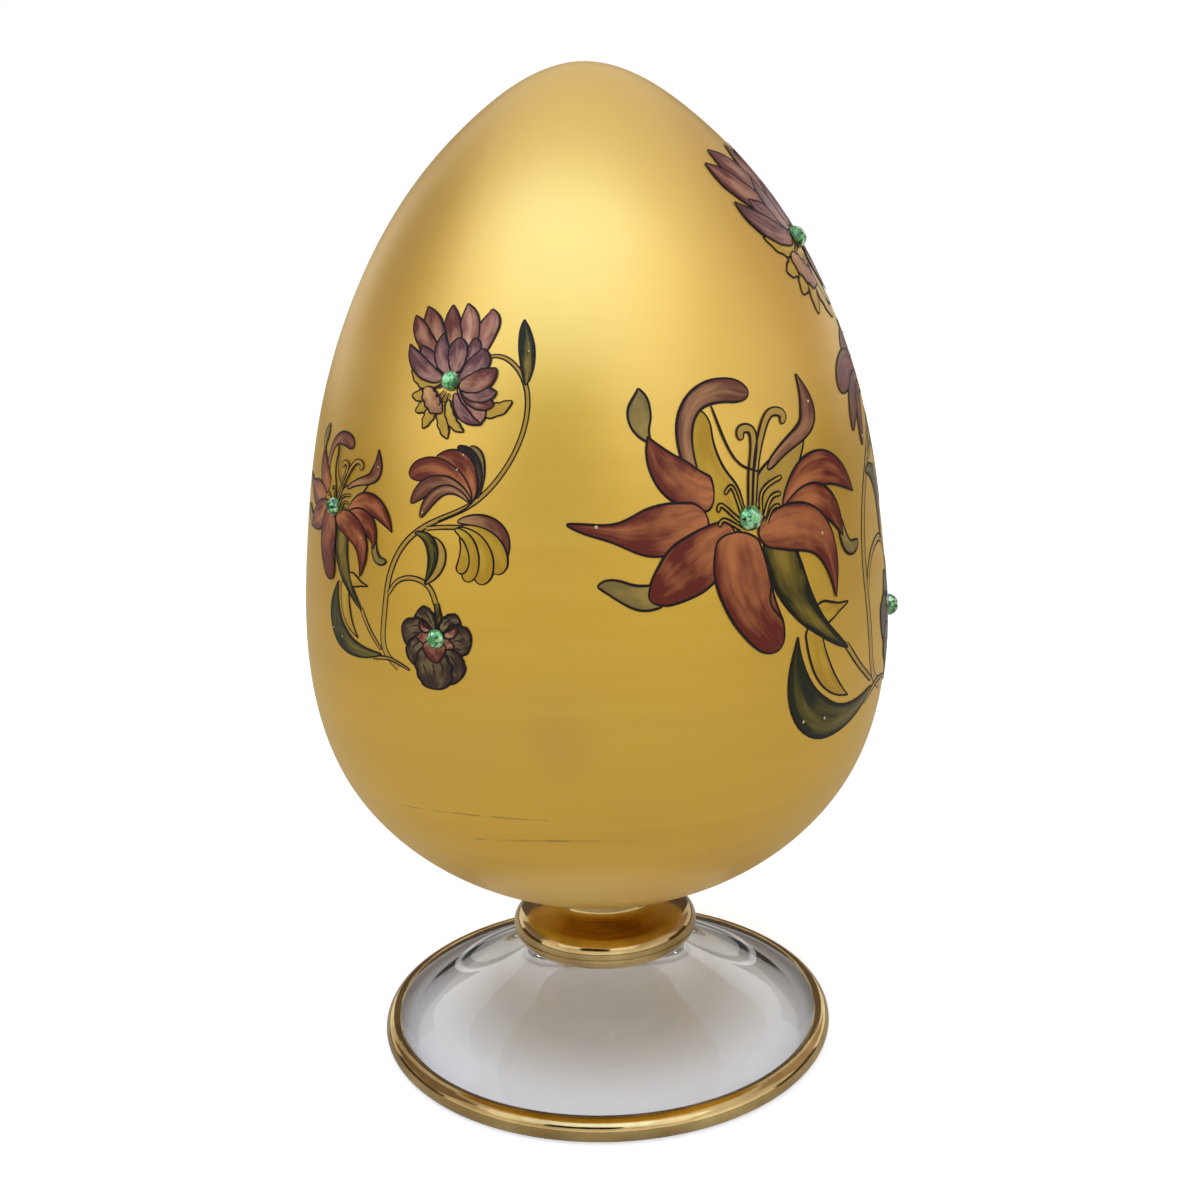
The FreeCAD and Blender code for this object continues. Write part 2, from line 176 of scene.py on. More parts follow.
# The drawing of a spray, in thousandths of its size, with places as (across, up). A petal is a paint,
# a midrib of four places, and half its width at even stations along it.
THOUSANDTHS = 1000
LILY_PETALS = (
    ("gilt", ((60, 0), (100, 80), (200, 90), (285, 165)), (50, 60, 52, 30, 4)),
    ("yellow", ((-50, -20), (-110, 100), (-105, 220), (-45, 315)), (50, 74, 60, 46, 34)),
    ("brown", ((-125, 135), (-145, 350), (-10, 395), (120, 315)), (16, 21, 25, 33, 34)),
    ("brown", ((105, 105), (240, 190), (360, 110), (322, 315)), (10, 18, 25, 32, 8)),
    ("taupe", ((-213, 275), (-245, 340), (-190, 360), (-190, 415)), (6, 24, 31, 24, 6)),
    ("terracotta", ((-85, 95), (-160, 120), (-215, 190), (-213, 290)), (46, 56, 56, 36, 4)),
    ("terracotta", ((120, -12), (270, 110), (390, 30), (462, -80)), (10, 42, 50, 36, 4)),
    ("taupe", ((352, -120), (345, -210), (380, -245), (435, -222)), (10, 18, 20, 18, 12)),
    ("terracotta", ((100, -30), (260, 0), (335, -50), (350, -175)), (10, 40, 46, 32, 4)),
    ("terracotta", ((-125, 45), (-250, 30), (-340, 40), (-505, 125)), (40, 64, 62, 24, 9)),
    ("taupe", ((-310, -115), (-400, -125), (-410, -60), (-475, -50)), (32, 34, 28, 22, 10)),
    ("terracotta", ((-60, -10), (-190, -50), (-250, -100), (-350, -120)), (34, 64, 74, 56, 26)),
    ("terracotta", ((15, -55), (160, -50), (310, -110), (255, -325)), (34, 62, 62, 40, 4)),
    ("terracotta", ((-45, -25), (-85, -150), (-85, -260), (0, -370)), (60, 86, 82, 66, 44)),
)
ASTER_PETALS = (
    ("ruff", ((620, 660), (570, 640), (500, 660), (435, 710)), (10, 30, 35, 25, 4)),
    ("ruff", ((600, 600), (570, 600), (520, 580), (475, 590)), (20, 30, 32, 26, 10)),
    ("ruff", ((610, 580), (580, 560), (550, 530), (515, 510)), (20, 30, 32, 26, 10)),
    ("ruff", ((630, 560), (610, 530), (590, 480), (575, 430)), (20, 28, 30, 24, 8)),
    ("ruff", ((650, 560), (660, 500), (680, 440), (715, 385)), (20, 28, 30, 24, 8)),
    ("ruff", ((680, 570), (690, 500), (730, 440), (790, 420)), (10, 18, 22, 20, 7)),
    ("ruff", ((800, 560), (860, 510), (930, 500), (985, 565)), (20, 30, 34, 32, 14)),
    ("rose", ((730, 720), (760, 820), (800, 920), (765, 1010)), (30, 45, 50, 48, 10)),
    ("rose", ((700, 760), (710, 860), (680, 950), (635, 1040)), (30, 48, 52, 40, 6)),
    ("salmon", ((640, 780), (630, 870), (580, 940), (560, 1035)), (30, 42, 40, 34, 6)),
    ("salmon", ((600, 760), (550, 850), (480, 940), (420, 1030)), (30, 45, 50, 42, 6)),
    ("salmon", ((580, 760), (500, 820), (420, 900), (365, 985)), (30, 42, 42, 36, 6)),
    ("plum", ((720, 680), (740, 760), (760, 820), (725, 865)), (20, 30, 34, 30, 10)),
    ("plum", ((640, 690), (580, 720), (500, 770), (460, 835)), (20, 34, 40, 32, 4)),
    ("plum", ((620, 670), (540, 690), (440, 740), (385, 840)), (20, 34, 40, 32, 4)),
    ("plum", ((650, 700), (600, 760), (560, 820), (565, 895)), (20, 36, 38, 30, 4)),
    ("plum", ((680, 700), (680, 760), (660, 820), (650, 870)), (20, 40, 48, 42, 14)),
    ("plum", ((710, 650), (760, 680), (800, 740), (785, 815)), (20, 44, 58, 50, 14)),
    ("rose", ((720, 640), (800, 570), (860, 500), (865, 460)), (20, 36, 40, 34, 6)),
    ("plum", ((710, 600), (730, 530), (790, 470), (870, 455)), (10, 20, 26, 20, 3)),
    ("salmon", ((730, 630), (790, 580), (860, 540), (910, 545)), (10, 30, 36, 32, 10)),
    ("plum", ((730, 630), (790, 600), (860, 580), (905, 610)), (10, 32, 40, 36, 12)),
    ("salmon", ((720, 640), (770, 640), (840, 660), (875, 720)), (20, 42, 52, 48, 14)),
    ("blush", ((550, 630), (570, 580), (610, 540), (665, 510)), (18, 34, 36, 34, 12)),
)
PANSY_PETALS = (
    ("mauve", ((720, -540), (700, -500), (670, -470), (640, -450)), (30, 45, 56, 52, 40)),
    ("mauve", ((790, -540), (800, -510), (830, -490), (865, -475)), (30, 42, 50, 48, 36)),
    ("mauve", ((720, -570), (680, -550), (620, -550), (556, -565)), (30, 56, 72, 70, 54)),
    ("mauve", ((790, -580), (830, -570), (870, -570), (925, -570)), (30, 60, 76, 70, 50)),
    ("mauve", ((720, -580), (680, -610), (650, -650), (605, -695)), (30, 54, 70, 66, 48)),
    ("mauve", ((750, -600), (780, -660), (820, -710), (875, -755)), (30, 60, 78, 74, 54)),
    ("mauve", ((730, -600), (720, -660), (740, -740), (745, -820)), (30, 74, 96, 88, 66)),
    ("salmon", ((710, -560), (690, -570), (670, -570), (640, -575)), (30, 36, 30, 20, 6)),
    ("salmon", ((780, -580), (800, -590), (820, -600), (845, -605)), (20, 30, 26, 18, 6)),
    ("salmon", ((740, -580), (740, -620), (745, -660), (755, -690)), (40, 60, 56, 36, 8)),
    ("salmon", ((710, -530), (680, -540), (660, -520), (665, -490)), (8, 14, 14, 12, 4)),
    ("salmon", ((790, -550), (820, -550), (850, -530), (850, -505)), (10, 18, 20, 16, 5)),
)
CALYX_PETALS = (
    ("yellow", ((150, -335), (200, -350), (250, -360), (315, -363)), (22, 34, 24, 10, 3)),
    ("yellow", ((130, -360), (120, -460), (140, -560), (250, -635)), (34, 36, 34, 22, 2)),
    ("moss", ((75, -60), (60, -260), (130, -360), (275, -490)), (55, 62, 44, 22, 7)),
)
LEAF_PETALS = (
    ("gilt", ((660, -90), (755, -110), (775, -220), (675, -315)), (8, 30, 36, 28, 4)),
    ("olive", ((600, -70), (710, -75), (745, -180), (670, -310)), (6, 22, 28, 22, 3)),
    ("olive", ((420, -690), (150, -740), (-40, -620), (65, -370)), (6, 36, 60, 48, 5)),
)
BUD_PETALS = (
    ("moss", ((1030, 640), (1020, 760), (960, 860), (930, 955)), (6, 28, 34, 24, 4)),
)
TULIP_PETALS = (
    ("taupe", ((905, 110), (920, 220), (900, 310), (835, 350)), (6, 14, 18, 22, 14)),
    ("slate", ((895, 110), (900, 220), (870, 310), (775, 350)), (8, 22, 28, 28, 14)),
    ("terracotta", ((885, 100), (880, 200), (800, 310), (675, 300)), (10, 30, 48, 48, 12)),
    ("terracotta", ((875, 100), (830, 200), (680, 300), (540, 200)), (8, 26, 40, 52, 46)),
    ("brown", ((875, 95), (800, 190), (660, 220), (565, 70)), (6, 20, 34, 40, 20)),
    ("brown", ((865, 90), (790, 170), (690, 180), (625, 5)), (5, 14, 22, 28, 18)),
)
PALMETTE_PETALS = (
    ("brown", ((820, -5), (940, 30), (1040, -30), (1065, -175)), (10, 28, 38, 38, 12)),
    ("yellow", ((830, -30), (950, -30), (1040, -120), (1030, -245)), (8, 26, 40, 46, 42)),
    ("yellow", ((820, -35), (930, -60), (980, -150), (955, -295)), (8, 26, 38, 48, 44)),
    ("yellow", ((810, -40), (890, -70), (930, -160), (885, -285)), (8, 22, 32, 40, 38)),
    ("yellow", ((840, -80), (870, -120), (880, -200), (845, -245)), (4, 12, 22, 28, 24)),
)

# Stems and stamens: a paint, the places along the middle line, and the width at root and tip.
STEMS = (
    ("gilt", ((530, -745), (455, -680), (437, -500), (460, -300), (550, -120), (700, -10), (880, 80),
              (1000, 220), (1065, 420), (1045, 600), (970, 720), (860, 780), (740, 750)), 30, 16),
    ("gilt", ((460, -380), (500, -325), (600, -290), (700, -330), (750, -430)), 18, 26),
    ("gilt", ((270, -480), (330, -570), (420, -670)), 20, 16),
    ("gilt", ((660, -45), (740, -35), (840, -30)), 18, 20),
    ("gilt", ((360, -715), (480, -705), (600, -745)), 18, 10),
    ("olive", ((742, -400), (755, -470), (755, -530)), 26, 50),
)
STAMENS = (
    ("gilt", ((10, 20), (50, 120), (85, 190), (85, 225), (55, 230), (45, 205)), 14, 24),
    ("gilt", ((20, 20), (70, 130), (130, 215), (190, 245), (215, 225), (200, 205)), 14, 24),
    ("yellow", ((-20, 20), (-22, 70), (-30, 98), (-55, 85)), 10, 10),
    ("yellow", ((-30, 0), (-55, 35), (-80, 60), (-90, 45)), 10, 10),
    ("yellow", ((-35, -20), (-60, 5), (-85, 20), (-100, 8)), 10, 10),
    ("yellow", ((40, 0), (60, 50), (100, 68), (145, 72)), 10, 12),
    ("yellow", ((50, -10), (75, 20), (100, 33), (125, 30)), 10, 12),
    ("yellow", ((50, -30), (75, -5), (95, 3), (110, 0)), 8, 10),
)
FOLDS = {
    "lily": (
        ((-8, 318), (-4, 225), (26, 140), (72, 108)),
        ((15, -190), (-5, -240), (20, -300)),
    ),
    "tulip": (
        ((900, 200), (898, 130), (870, 75), (800, 28), (720, -8)),
    ),
    "aster": (
        ((645, 640), (615, 630), (590, 620)),
        ((650, 615), (630, 590), (610, 580)),
        ((665, 605), (650, 570), (640, 540)),
        ((680, 600), (675, 570), (670, 545)),
    ),
}
MOTIFS = {
    "lily": LILY_PETALS,
    "aster": ASTER_PETALS,
    "pansy": PANSY_PETALS,
    "calyx": CALYX_PETALS,
    "leaf": LEAF_PETALS,
    "bud": BUD_PETALS,
    "tulip": TULIP_PETALS,
    "palmette": PALMETTE_PETALS,
}

# How finely the pieces are meshed.
EGG_RINGS = 240
EGG_SEGMENTS = 288
TURNED_SEGMENTS = 192
BEAD_STEPS = 40
THROAT_STEPS = 24
FLARE_STEPS = 40
RIM_STEPS = 30
PETAL_STEPS = 36
PETAL_COLUMNS = 13
STEM_STEPS_PER_SPAN = 12
STEM_COLUMNS = 3
LEAST_STEP = 1e-9
WELD_DISTANCE = 0.000002

# Paints: the light colour near a petal's root, the deep colour of its tip and edges, and the slot.
PAINTS = {
    "terracotta": ((0.51, 0.165, 0.054), (0.145, 0.02, 0.011), "terracotta_enamel"),
    "brown": ((0.45, 0.215, 0.088), (0.15, 0.04, 0.022), "terracotta_enamel"),
    "taupe": ((0.38, 0.25, 0.056), (0.22, 0.15, 0.04), "taupe_enamel"),
    "slate": ((0.07, 0.048, 0.028), (0.014, 0.009, 0.008), "taupe_enamel"),
    "yellow": ((0.62, 0.38, 0.036), (0.48, 0.26, 0.018), "yellow_enamel"),
    "gilt": ((0.5, 0.3, 0.044), (0.46, 0.265, 0.038), "yellow_enamel"),
    # The cream paint colours the glaze bubbles pale as a painted highlight, where they catch the light.
    "cream_glint": ((0.8, 0.62, 0.38), (0.7, 0.5, 0.26), "yellow_enamel"),
    "ruff": ((0.64, 0.4, 0.06), (0.52, 0.3, 0.03), "yellow_enamel"),
    "olive": ((0.18, 0.136, 0.017), (0.017, 0.018, 0.004), "olive_enamel"),
    "moss": ((0.29, 0.19, 0.024), (0.012, 0.015, 0.003), "olive_enamel"),
    "plum": ((0.43, 0.205, 0.155), (0.125, 0.042, 0.045), "plum_enamel"),
    "salmon": ((0.52, 0.24, 0.135), (0.14, 0.028, 0.02), "plum_enamel"),
    "rose": ((0.68, 0.36, 0.22), (0.28, 0.09, 0.06), "plum_enamel"),
    "blush": ((0.62, 0.33, 0.12), (0.36, 0.15, 0.07), "plum_enamel"),
    "mauve": ((0.27, 0.185, 0.078), (0.052, 0.028, 0.018), "taupe_enamel"),
}

# In the materials below, a grain is a noise as (waves in a metre, layers, roughness), or with one wave
# where its place is counted in waves already. A span is the part of a value's range over which a
# blend runs, a bump is (strength, depth), and a finish holds what is alike all over the piece.
ROUGH_SPAN = (0.3, 0.7)
EVEN_SPAN = (0.35, 0.65)
CLOUD_SPAN = (0.35, 0.7)

# The enamel deepens toward the tip and the edges of a petal, in brush strokes and broad patches.
TIP_DEPTH_SHARE = 0.72
EDGE_DEPTH_SHARE = 0.48
EDGE_DEPTH_SHARES = {"olive": 1.00, "moss": 0.80}
EDGE_POWER = 2.2
PAINT_DEPTH_SPAN = (0.0, 0.80)
SEED_SPREAD = 37.0
STROKE_GRAIN = (1.0, 3.0, 0.6)
STROKE_WAVES = (7.0, 1.6)
STROKE_DEPTH_SHARES = (-0.13, 0.19)
PATCH_GRAIN = (1.0, 2.0, 0.5)
PATCH_WAVES = (2.0, 2.5)
PATCH_DEPTH_SHARES = (-0.27, 0.35)
ENAMEL_ROUGHNESS = (0.24, 0.36)
ENAMEL_GRAIN = (1800.0, 3.0, 0.5)
ENAMEL_BUMP = (0.2, 0.00008)
ENAMEL_GLOSS_SHARE = 0.22

# The ink is a thin, nearly black enamel.
INK_COLOUR = (0.007, 0.002, 0.003)
INK_THIN_COLOUR = (0.018, 0.005, 0.006)
INK_GRAIN = (900.0, 3.0, 0.5)
INK_ROUGHNESS = (0.40, 0.55)
INK_GLOSS_SHARE = 0.25

# The lacquer is satin gold with faint level bands, and a painted highlight that makes it paler toward the
# top of the egg.
LACQUER_DEEP = (0.910, 0.542, 0.025)
LACQUER_LIGHT = (0.945, 0.574, 0.035)
LACQUER_PAINTED_HIGHLIGHT = (0.905, 0.582, 0.115)
LACQUER_RUBBED = (0.74, 0.45, 0.09)
LACQUER_FLAKE = (0.90, 0.66, 0.22)
LACQUER_SOILED = (0.38, 0.20, 0.025)
LACQUER_HIGHLIGHT_LEVELS = (0.122, 0.185)
BANDS_PER_METRE = (6.0, 6.0, 260.0)
BAND_GRAIN = (1.0, 3.0, 0.5)
CLOUD_GRAIN = (22.0, 4.0, 0.5)
RUB_SPAN = (0.52, 0.75)
RUB_SHARE = 0.2
FLAKE_GRAIN = (2600.0, 2.0, 0.7)
FLAKE_SPAN = (0.45, 0.75)
FLAKE_SHARE = 0.12
FLAKE_BUMP = (0.06, 0.00006)
LACQUER_ROUGHNESS = (0.43, 0.50)
LACQUER_FINISH = {"Metallic": 1.0, "Coat Weight": 0.46, "Coat IOR": 2.2, "Coat Roughness": 0.32}

# Marks of use on the front of the egg: scratches as two (x, z) places and a width, and a smudge.
SCRATCHES = (
    ((-0.0400, 0.0684), (-0.0090, 0.0703), 0.00022),
    ((-0.0243, 0.0643), (0.0081, 0.0653), 0.00030),
)
SCRATCH_BOW_SHARE = 3.0
SCRATCH_FADE_SHARE = 0.08
WORN_GRAIN = (260.0, 3.0, 0.5)
WORN_SPAN = (0.4, 0.6)
WORN_SHARES = (0.1, 0.9)
SMUDGE_PLACE = (-0.007, -0.060, 0.0856)
SMUDGE_RADIUS = 0.008
SMUDGE_SHARE = 0.16

# The gilding is mirror gold, clouded and slightly rippled, and dull where it is seen from behind, with
# pale hairlines there as painted highlights.
GILT_DEEP = (0.42, 0.27, 0.10)
GILT_LIGHT = (0.82, 0.61, 0.27)
GILT_CLOUD_GRAIN = (60.0, 5.0, 0.5)
GILT_RIPPLE_GRAIN = (110.0, 2.0, 0.5)
GILT_RIPPLE_BUMP = (0.25, 0.0005)
GILT_FINE_GRAIN = (1500.0, 2.0, 0.5)
GILT_FINE_SPAN = (0.3, 0.75)
GILT_ROUGHNESS = (0.05, 0.16)
GILT_BACK = (0.16, 0.125, 0.090)
GILT_BACK_PAINTED_GLINT = (0.62, 0.58, 0.52)
HAIRLINE_GRAIN = (1.0, 2.0, 0.5)
HAIRLINES_PER_METRE = (9.0, 9.0, 900.0)
HAIRLINE_GLINT_SPAN = (0.56, 0.62)
GILT_BACK_ROUGHNESS = (0.25, 0.4)
GILT_BACK_METAL_SHARE = 0.6

# The glass is clear, wavy and finely marked, with a painted shade in a ring round the stem, where the
# egg's shadow shows through the foot.
GLASS_CLEAR = (0.985, 0.980, 0.980)
GLASS_MARKED = (0.92, 0.915, 0.92)
GLASS_PAINTED_SHADE = (0.75, 0.71, 0.66)
GLASS_NECK_RADIUS = 0.015
GLASS_NECK_SHARE = 0.3
GLASS_SHADE_INNER = 0.024
GLASS_SHADE_OUTER = 0.038
GLASS_WAVE_GRAIN = (34.0, 2.0, 0.5)
GLASS_WAVE_BUMP = (0.10, 0.002)
GLASS_MARK_GRAIN = (420.0, 4.0, 0.5)
GLASS_MARK_SPAN = (0.62, 0.8)
GLASS_MARK_SHARE = 0.6
GLASS_ROUGH_SPAN = (0.6, 0.85)
GLASS_ROUGHNESS = (0.0, 0.06)
GLASS_FINISH = {
    "Transmission Weight": 1.0,
    "IOR": 1.14,
    "Coat Weight": 1.0,
    "Coat IOR": 1.5,
    "Coat Roughness": 0.01,
}

# The crystals: each facet has a painted light of its own, from a deep green painted shade to a painted
# glint.
CRYSTAL_PAINTED_SHADE = (0.010, 0.060, 0.020)
CRYSTAL_GREEN = (0.150, 0.560, 0.150)
CRYSTAL_PAINTED_GLINT = (0.66, 0.96, 0.60)
CRYSTAL_GRAIN = (900.0, 2.0, 0.5)
CRYSTAL_CLOUD_SHARES = (-0.12, 0.12)
CRYSTAL_GREEN_SPAN = (0.0, 0.7)
CRYSTAL_GLINT_SPAN = (0.7, 1.0)
CRYSTAL_FINISH = {"Metallic": 0.35, "Roughness": 0.08, "Coat Weight": 1.0, "Coat Roughness": 0.03}

# The bead of jewel cement round a crystal.
CEMENT_DEEP = (0.050, 0.060, 0.030)
CEMENT_LIGHT = (0.14, 0.13, 0.06)
CEMENT_GRAIN = (700.0, 3.0, 0.5)
CEMENT_ROUGHNESS = 0.3

# The floor: white to the eye, and a grey of its own for gloss and for the view through glass.
FLOOR_HALF_WIDTH = 4.0
FLOOR_DIVISIONS = 4
FLOOR_DROP = 0.00005
FLOOR_WHITE = (0.90, 0.90, 0.90)
FLOOR_LIFT = (0.45, 0.45, 0.45)
FLOOR_GREY = (0.58, 0.552, 0.490)
FLOOR_THROUGH_GLASS = (0.740, 0.722, 0.690)

# The room as a light: its level at steps of the direction's height.
WHITE = (1.0, 1.0, 1.0)
RAMP_MIDDLE_SHARE = 0.5
WORLD_STEPS = (
    (0.0, 0.08),
    (0.055, 0.08),
    (0.08, 0.98),
    (0.30, 0.94),
    (0.42, 0.80),
    (0.56, 0.68),
    (1.0, 0.70),
)

# Lamps: name, azimuth, elevation, distance, width, height, power and colour.
LAMPS = (
    ("key", -12.0, 54.0, 0.60, 1.20, 0.56, 1.30, (0.90, 1.01, 1.24)),
    ("window", -15.0, 57.0, 0.60, 0.58, 0.36, 0.33, (0.24, 0.92, 2.00)),
)
LAMP_TARGET_HEIGHT = 0.12

# Cards: name, azimuth, elevation, distance, width, height and level of grey, a little warm.
CARDS = (
    ("front_card", -14.0, 34.5, 0.45, 0.26, 0.13, 0.02),
    ("left_card", -102.0, 9.0, 1.5, 1.0, 0.42, 0.10),
    ("left_wall", -112.0, 36.0, 1.6, 1.3, 1.0, 0.28),
    ("right_card", 100.0, 8.0, 1.4, 0.9, 0.4, 0.10),
    ("right_wall", 122.0, 34.0, 1.6, 1.2, 1.0, 0.45),
    ("back_card", 180.0, 20.0, 1.6, 1.5, 0.8, 0.14),
)
CARD_TINT_SHARES = (1.0, 0.8, 0.7)

# The camera, at the photograph's viewing angle.
CAMERA_DISTANCE = 0.2885
CAMERA_HEIGHT = 0.1624
CAMERA_PITCH = math.radians(12.66)
CAMERA_YAW = math.radians(0.15)
CAMERA_ROLL = math.radians(1.52)
CAMERA_LENS = 41.5
CAMERA_SENSOR = 36.0
CAMERA_NEAR = 0.01

random.seed(7)


def clamped_spline(points, start, end):
    """A smooth curve through points with given end directions, as knots, points and slopes."""
    points = np.array(points, float)
    spans = np.linalg.norm(np.diff(points, axis=0), axis=1)
    knots = np.concatenate([[0.0], np.cumsum(spans)])
    count = len(points)
    matrix = np.eye(count)
    right = np.array(points)
    right[0] = start
    right[-1] = end
    for i in range(1, count - 1):
        before, after = spans[i - 1], spans[i]
        back, onward = points[i] - points[i - 1], points[i + 1] - points[i]
        matrix[i, i - 1 : i + 2] = after, 2 * (before + after), before
        right[i] = 3 * (after * back / before + before * onward / after)
    return knots, points, np.linalg.solve(matrix, right)


def between(t, start, end, start_slope, end_slope):
    """Smooth values at shares t of the way from start to end."""
    rise = (2 * t**3 - 3 * t**2 + 1) * start + (t**3 - 2 * t**2 + t) * start_slope
    return rise + (3 * t**2 - 2 * t**3) * end + (t**3 - t**2) * end_slope


def spline_value(spline, at):
    """Points of a clamped spline, and its directions there, at an array of knot values."""
    knots, points, slopes = spline
    at = np.asarray(at, float)
    k = np.clip(np.searchsorted(knots, at) - 1, 0, len(knots) - 2)
    span = (knots[k + 1] - knots[k])[..., None]
    t = (at - knots[k])[..., None] / span
    a, b, m, n = points[k], points[k + 1], slopes[k] * span, slopes[k + 1] * span
    along = (6 * t**2 - 6 * t) * (a - b) + (3 * t**2 - 4 * t + 1) * m + (3 * t**2 - 2 * t) * n
    return between(t, a, b, m, n), along / np.linalg.norm(along, axis=-1)[..., None]


def stations(values, at):
    """Smooth values at shares of a length, from values at even stations."""
    values = np.asarray(values, float)
    knots = np.linspace(0, 1, len(values))
    slopes = np.gradient(values, knots)
    k = np.clip((at * (len(values) - 1)).astype(int), 0, len(values) - 2)
    span = knots[1]
    t = (at - knots[k]) / span
    return between(t, values[k], values[k + 1], slopes[k] * span, slopes[k + 1] * span)


def meridian(inset):
    """The egg's outline as (radius, height), from bottom to top, set in along its normals."""
    through = np.array([(r * EGG_RADIUS, EGG_CLEARANCE + h * EGG_HEIGHT) for r, h in EGG_OUTLINE_SHARES])
    outline = clamped_spline(through, (1, 0), (-1, 0))
    along = spline_value(outline, outline[0])[1]
    moved = through + np.stack([-along[:, 1], along[:, 0]], 1) * inset
    return clamped_spline(moved, (1, 0), (-1, 0))


class Spray:
    """One spray's place on the egg."""

    def __init__(self, name, azimuth, sizes):
        self.name = name
        self.azimuth = math.radians(azimuth)
        self.size = sizes["size_share"] * EGG_DIAMETER
        self.breadth_share = sizes["breadth_share"]
        self.turn = math.radians(sizes["turn"])
        self.crystal_diameter = sizes["crystal_diameter"]
        self.ink = sizes["ink_width"] / self.size
        self.outline = meridian(-ENAMEL_GAP)
        self.level = sizes["level_share"] * self.outline[0][-1]

    def on_egg(self, places, lift):
        """Points on the egg of places drawn in shares of the spray, lifted off the lacquer."""
        places = np.asarray(places, float)
        across = places[..., 0] * self.breadth_share
        up = places[..., 1]
        x = across * math.cos(self.turn) - up * math.sin(self.turn)
        y = across * math.sin(self.turn) + up * math.cos(self.turn)
        value, along = spline_value(self.outline, self.level + y * self.size)
        angle = self.azimuth + x * self.size / value[..., 0]
        radius = value[..., 0] + along[..., 1] * lift
        height = value[..., 1] - along[..., 0] * lift
        return np.stack([radius * np.sin(angle), -radius * np.cos(angle), height], -1)


class Paint:
    """Mesh data of one paint of one motif, gathered petal by petal."""

    def __init__(self):
        self.points = []
        self.faces = []
        self.values = {"across": [], "along": [], "seed": []}

    def add_grid(self, points, across, along, seed):
        """Adds a grid of points, indexed along the petal and then across it."""
        rows, columns = points.shape[:2]
        first = len(self.points)
        self.points.extend(points.reshape(-1, 3).tolist())
        self.values["across"].extend(np.tile(across, rows).tolist())
        self.values["along"].extend(np.repeat(along, columns).tolist())
        self.values["seed"].extend([seed] * (rows * columns))
        self.faces.extend(grid_faces(rows, columns, first))

    def build(self, name, material):
        """The gathered mesh as a smooth object."""
        mesh = new_mesh(name, self.points, self.faces)
        for key, values in self.values.items():
            mesh.attributes.new(key, "FLOAT", "POINT").data.foreach_set("value", values)
        return finished(name, mesh, material)


def grid_faces(rows, columns, first=0):
    """The four-sided faces between the points of a grid, whose first point has a given number."""
    faces = []
    for i in range(rows - 1):
        for j in range(columns - 1):
            a = first + i * columns + j
            faces.append((a, a + 1, a + columns + 1, a + columns))
    return faces


def new_mesh(name, points, faces):
    """A mesh of points and faces."""
    mesh = bpy.data.meshes.new(name)
    mesh.from_pydata(points, [], faces)
    return mesh


def linked(name, data):
    """A new object of the scene."""
    piece = bpy.data.objects.new(name, data)
    bpy.context.scene.collection.objects.link(piece)
    return piece


def finished(name, mesh, material, smooth=True):
    """Links a mesh as a piece with a material."""
    mesh.validate()
    mesh.update()
    if smooth:
        mesh.shade_smooth()
    else:
        mesh.shade_flat()
    piece = linked(name, mesh)
    mesh.materials.append(material)
    return piece


def sideways(points):
    """Unit directions to the left of a flat line of points."""
    along = np.gradient(points, axis=0)
    along /= np.maximum(np.linalg.norm(along, axis=1), LEAST_STEP)[:, None]
    return np.stack([-along[:, 1], along[:, 0]], 1)


def even_ends(count):
    """Shares from 0 to 1 that crowd toward both ends, where a petal's outline turns."""
    return (1 - np.cos(np.linspace(0, math.pi, count))) / 2


def round_tip(t, share):
    """How far a shape keeps its width at shares t of its length, when its tip is round."""
    return np.sqrt(1 - np.clip((t - 1 + share) / share, 0, 1) ** 2)


def petal_sides(midrib, half_widths, frill_share):
    """The left and right side of a petal from root to tip, a little uneven as if by hand."""
    t = even_ends(PETAL_STEPS)
    root, first, second, tip = np.array(midrib) / THOUSANDTHS
    u = t[:, None]
    middle = (1 - u) ** 3 * root + 3 * u * (1 - u) ** 2 * first + 3 * u**2 * (1 - u) * second + u**3 * tip
    half = stations(np.array(half_widths) / THOUSANDTHS, t) * round_tip(t, ROUND_TIP_SHARE)
    half = half * np.sqrt(1 - np.clip(1 - t / ROUND_ROOT_SHARE, 0, 1) ** 2)
    side = sideways(middle)
    sides = []
    for sign in (1, -1):
        wave = WAVE_SHARE * np.sin(WAVES * t + random.uniform(0, math.tau))
        frill = frill_share * np.sin(FRILLS * t + random.uniform(0, math.tau))
        sides.append(middle + side * (sign * half * (1 + wave + frill))[:, None])
    return sides


def add_stroke(spray, ink, line, lift, width_share=1.0):
    """Adds a line of ink, thin at its ends and a little uneven, that stands proud as a low ridge."""
    t = np.linspace(0, 1, len(line))
    swell = INK_END_SHARE + (1 - INK_END_SHARE) * np.sin(math.pi * t) ** INK_SWELL_SHARE
    swell = swell * (1 + INK_WAVE_SHARE * np.sin(INK_WAVES * t + random.uniform(0, math.tau)))
    half = spray.ink / 2 * width_share * swell
    side = sideways(line)
    columns = []
    for place, rise in INK_RIDGE_SHARES:
        columns.append(spray.on_egg(line + side * (place * half)[:, None], lift + rise * INK_CROWN))
    ink.add_grid(np.stack(columns, 1), np.linspace(0, 1, len(columns)), t, random.random())


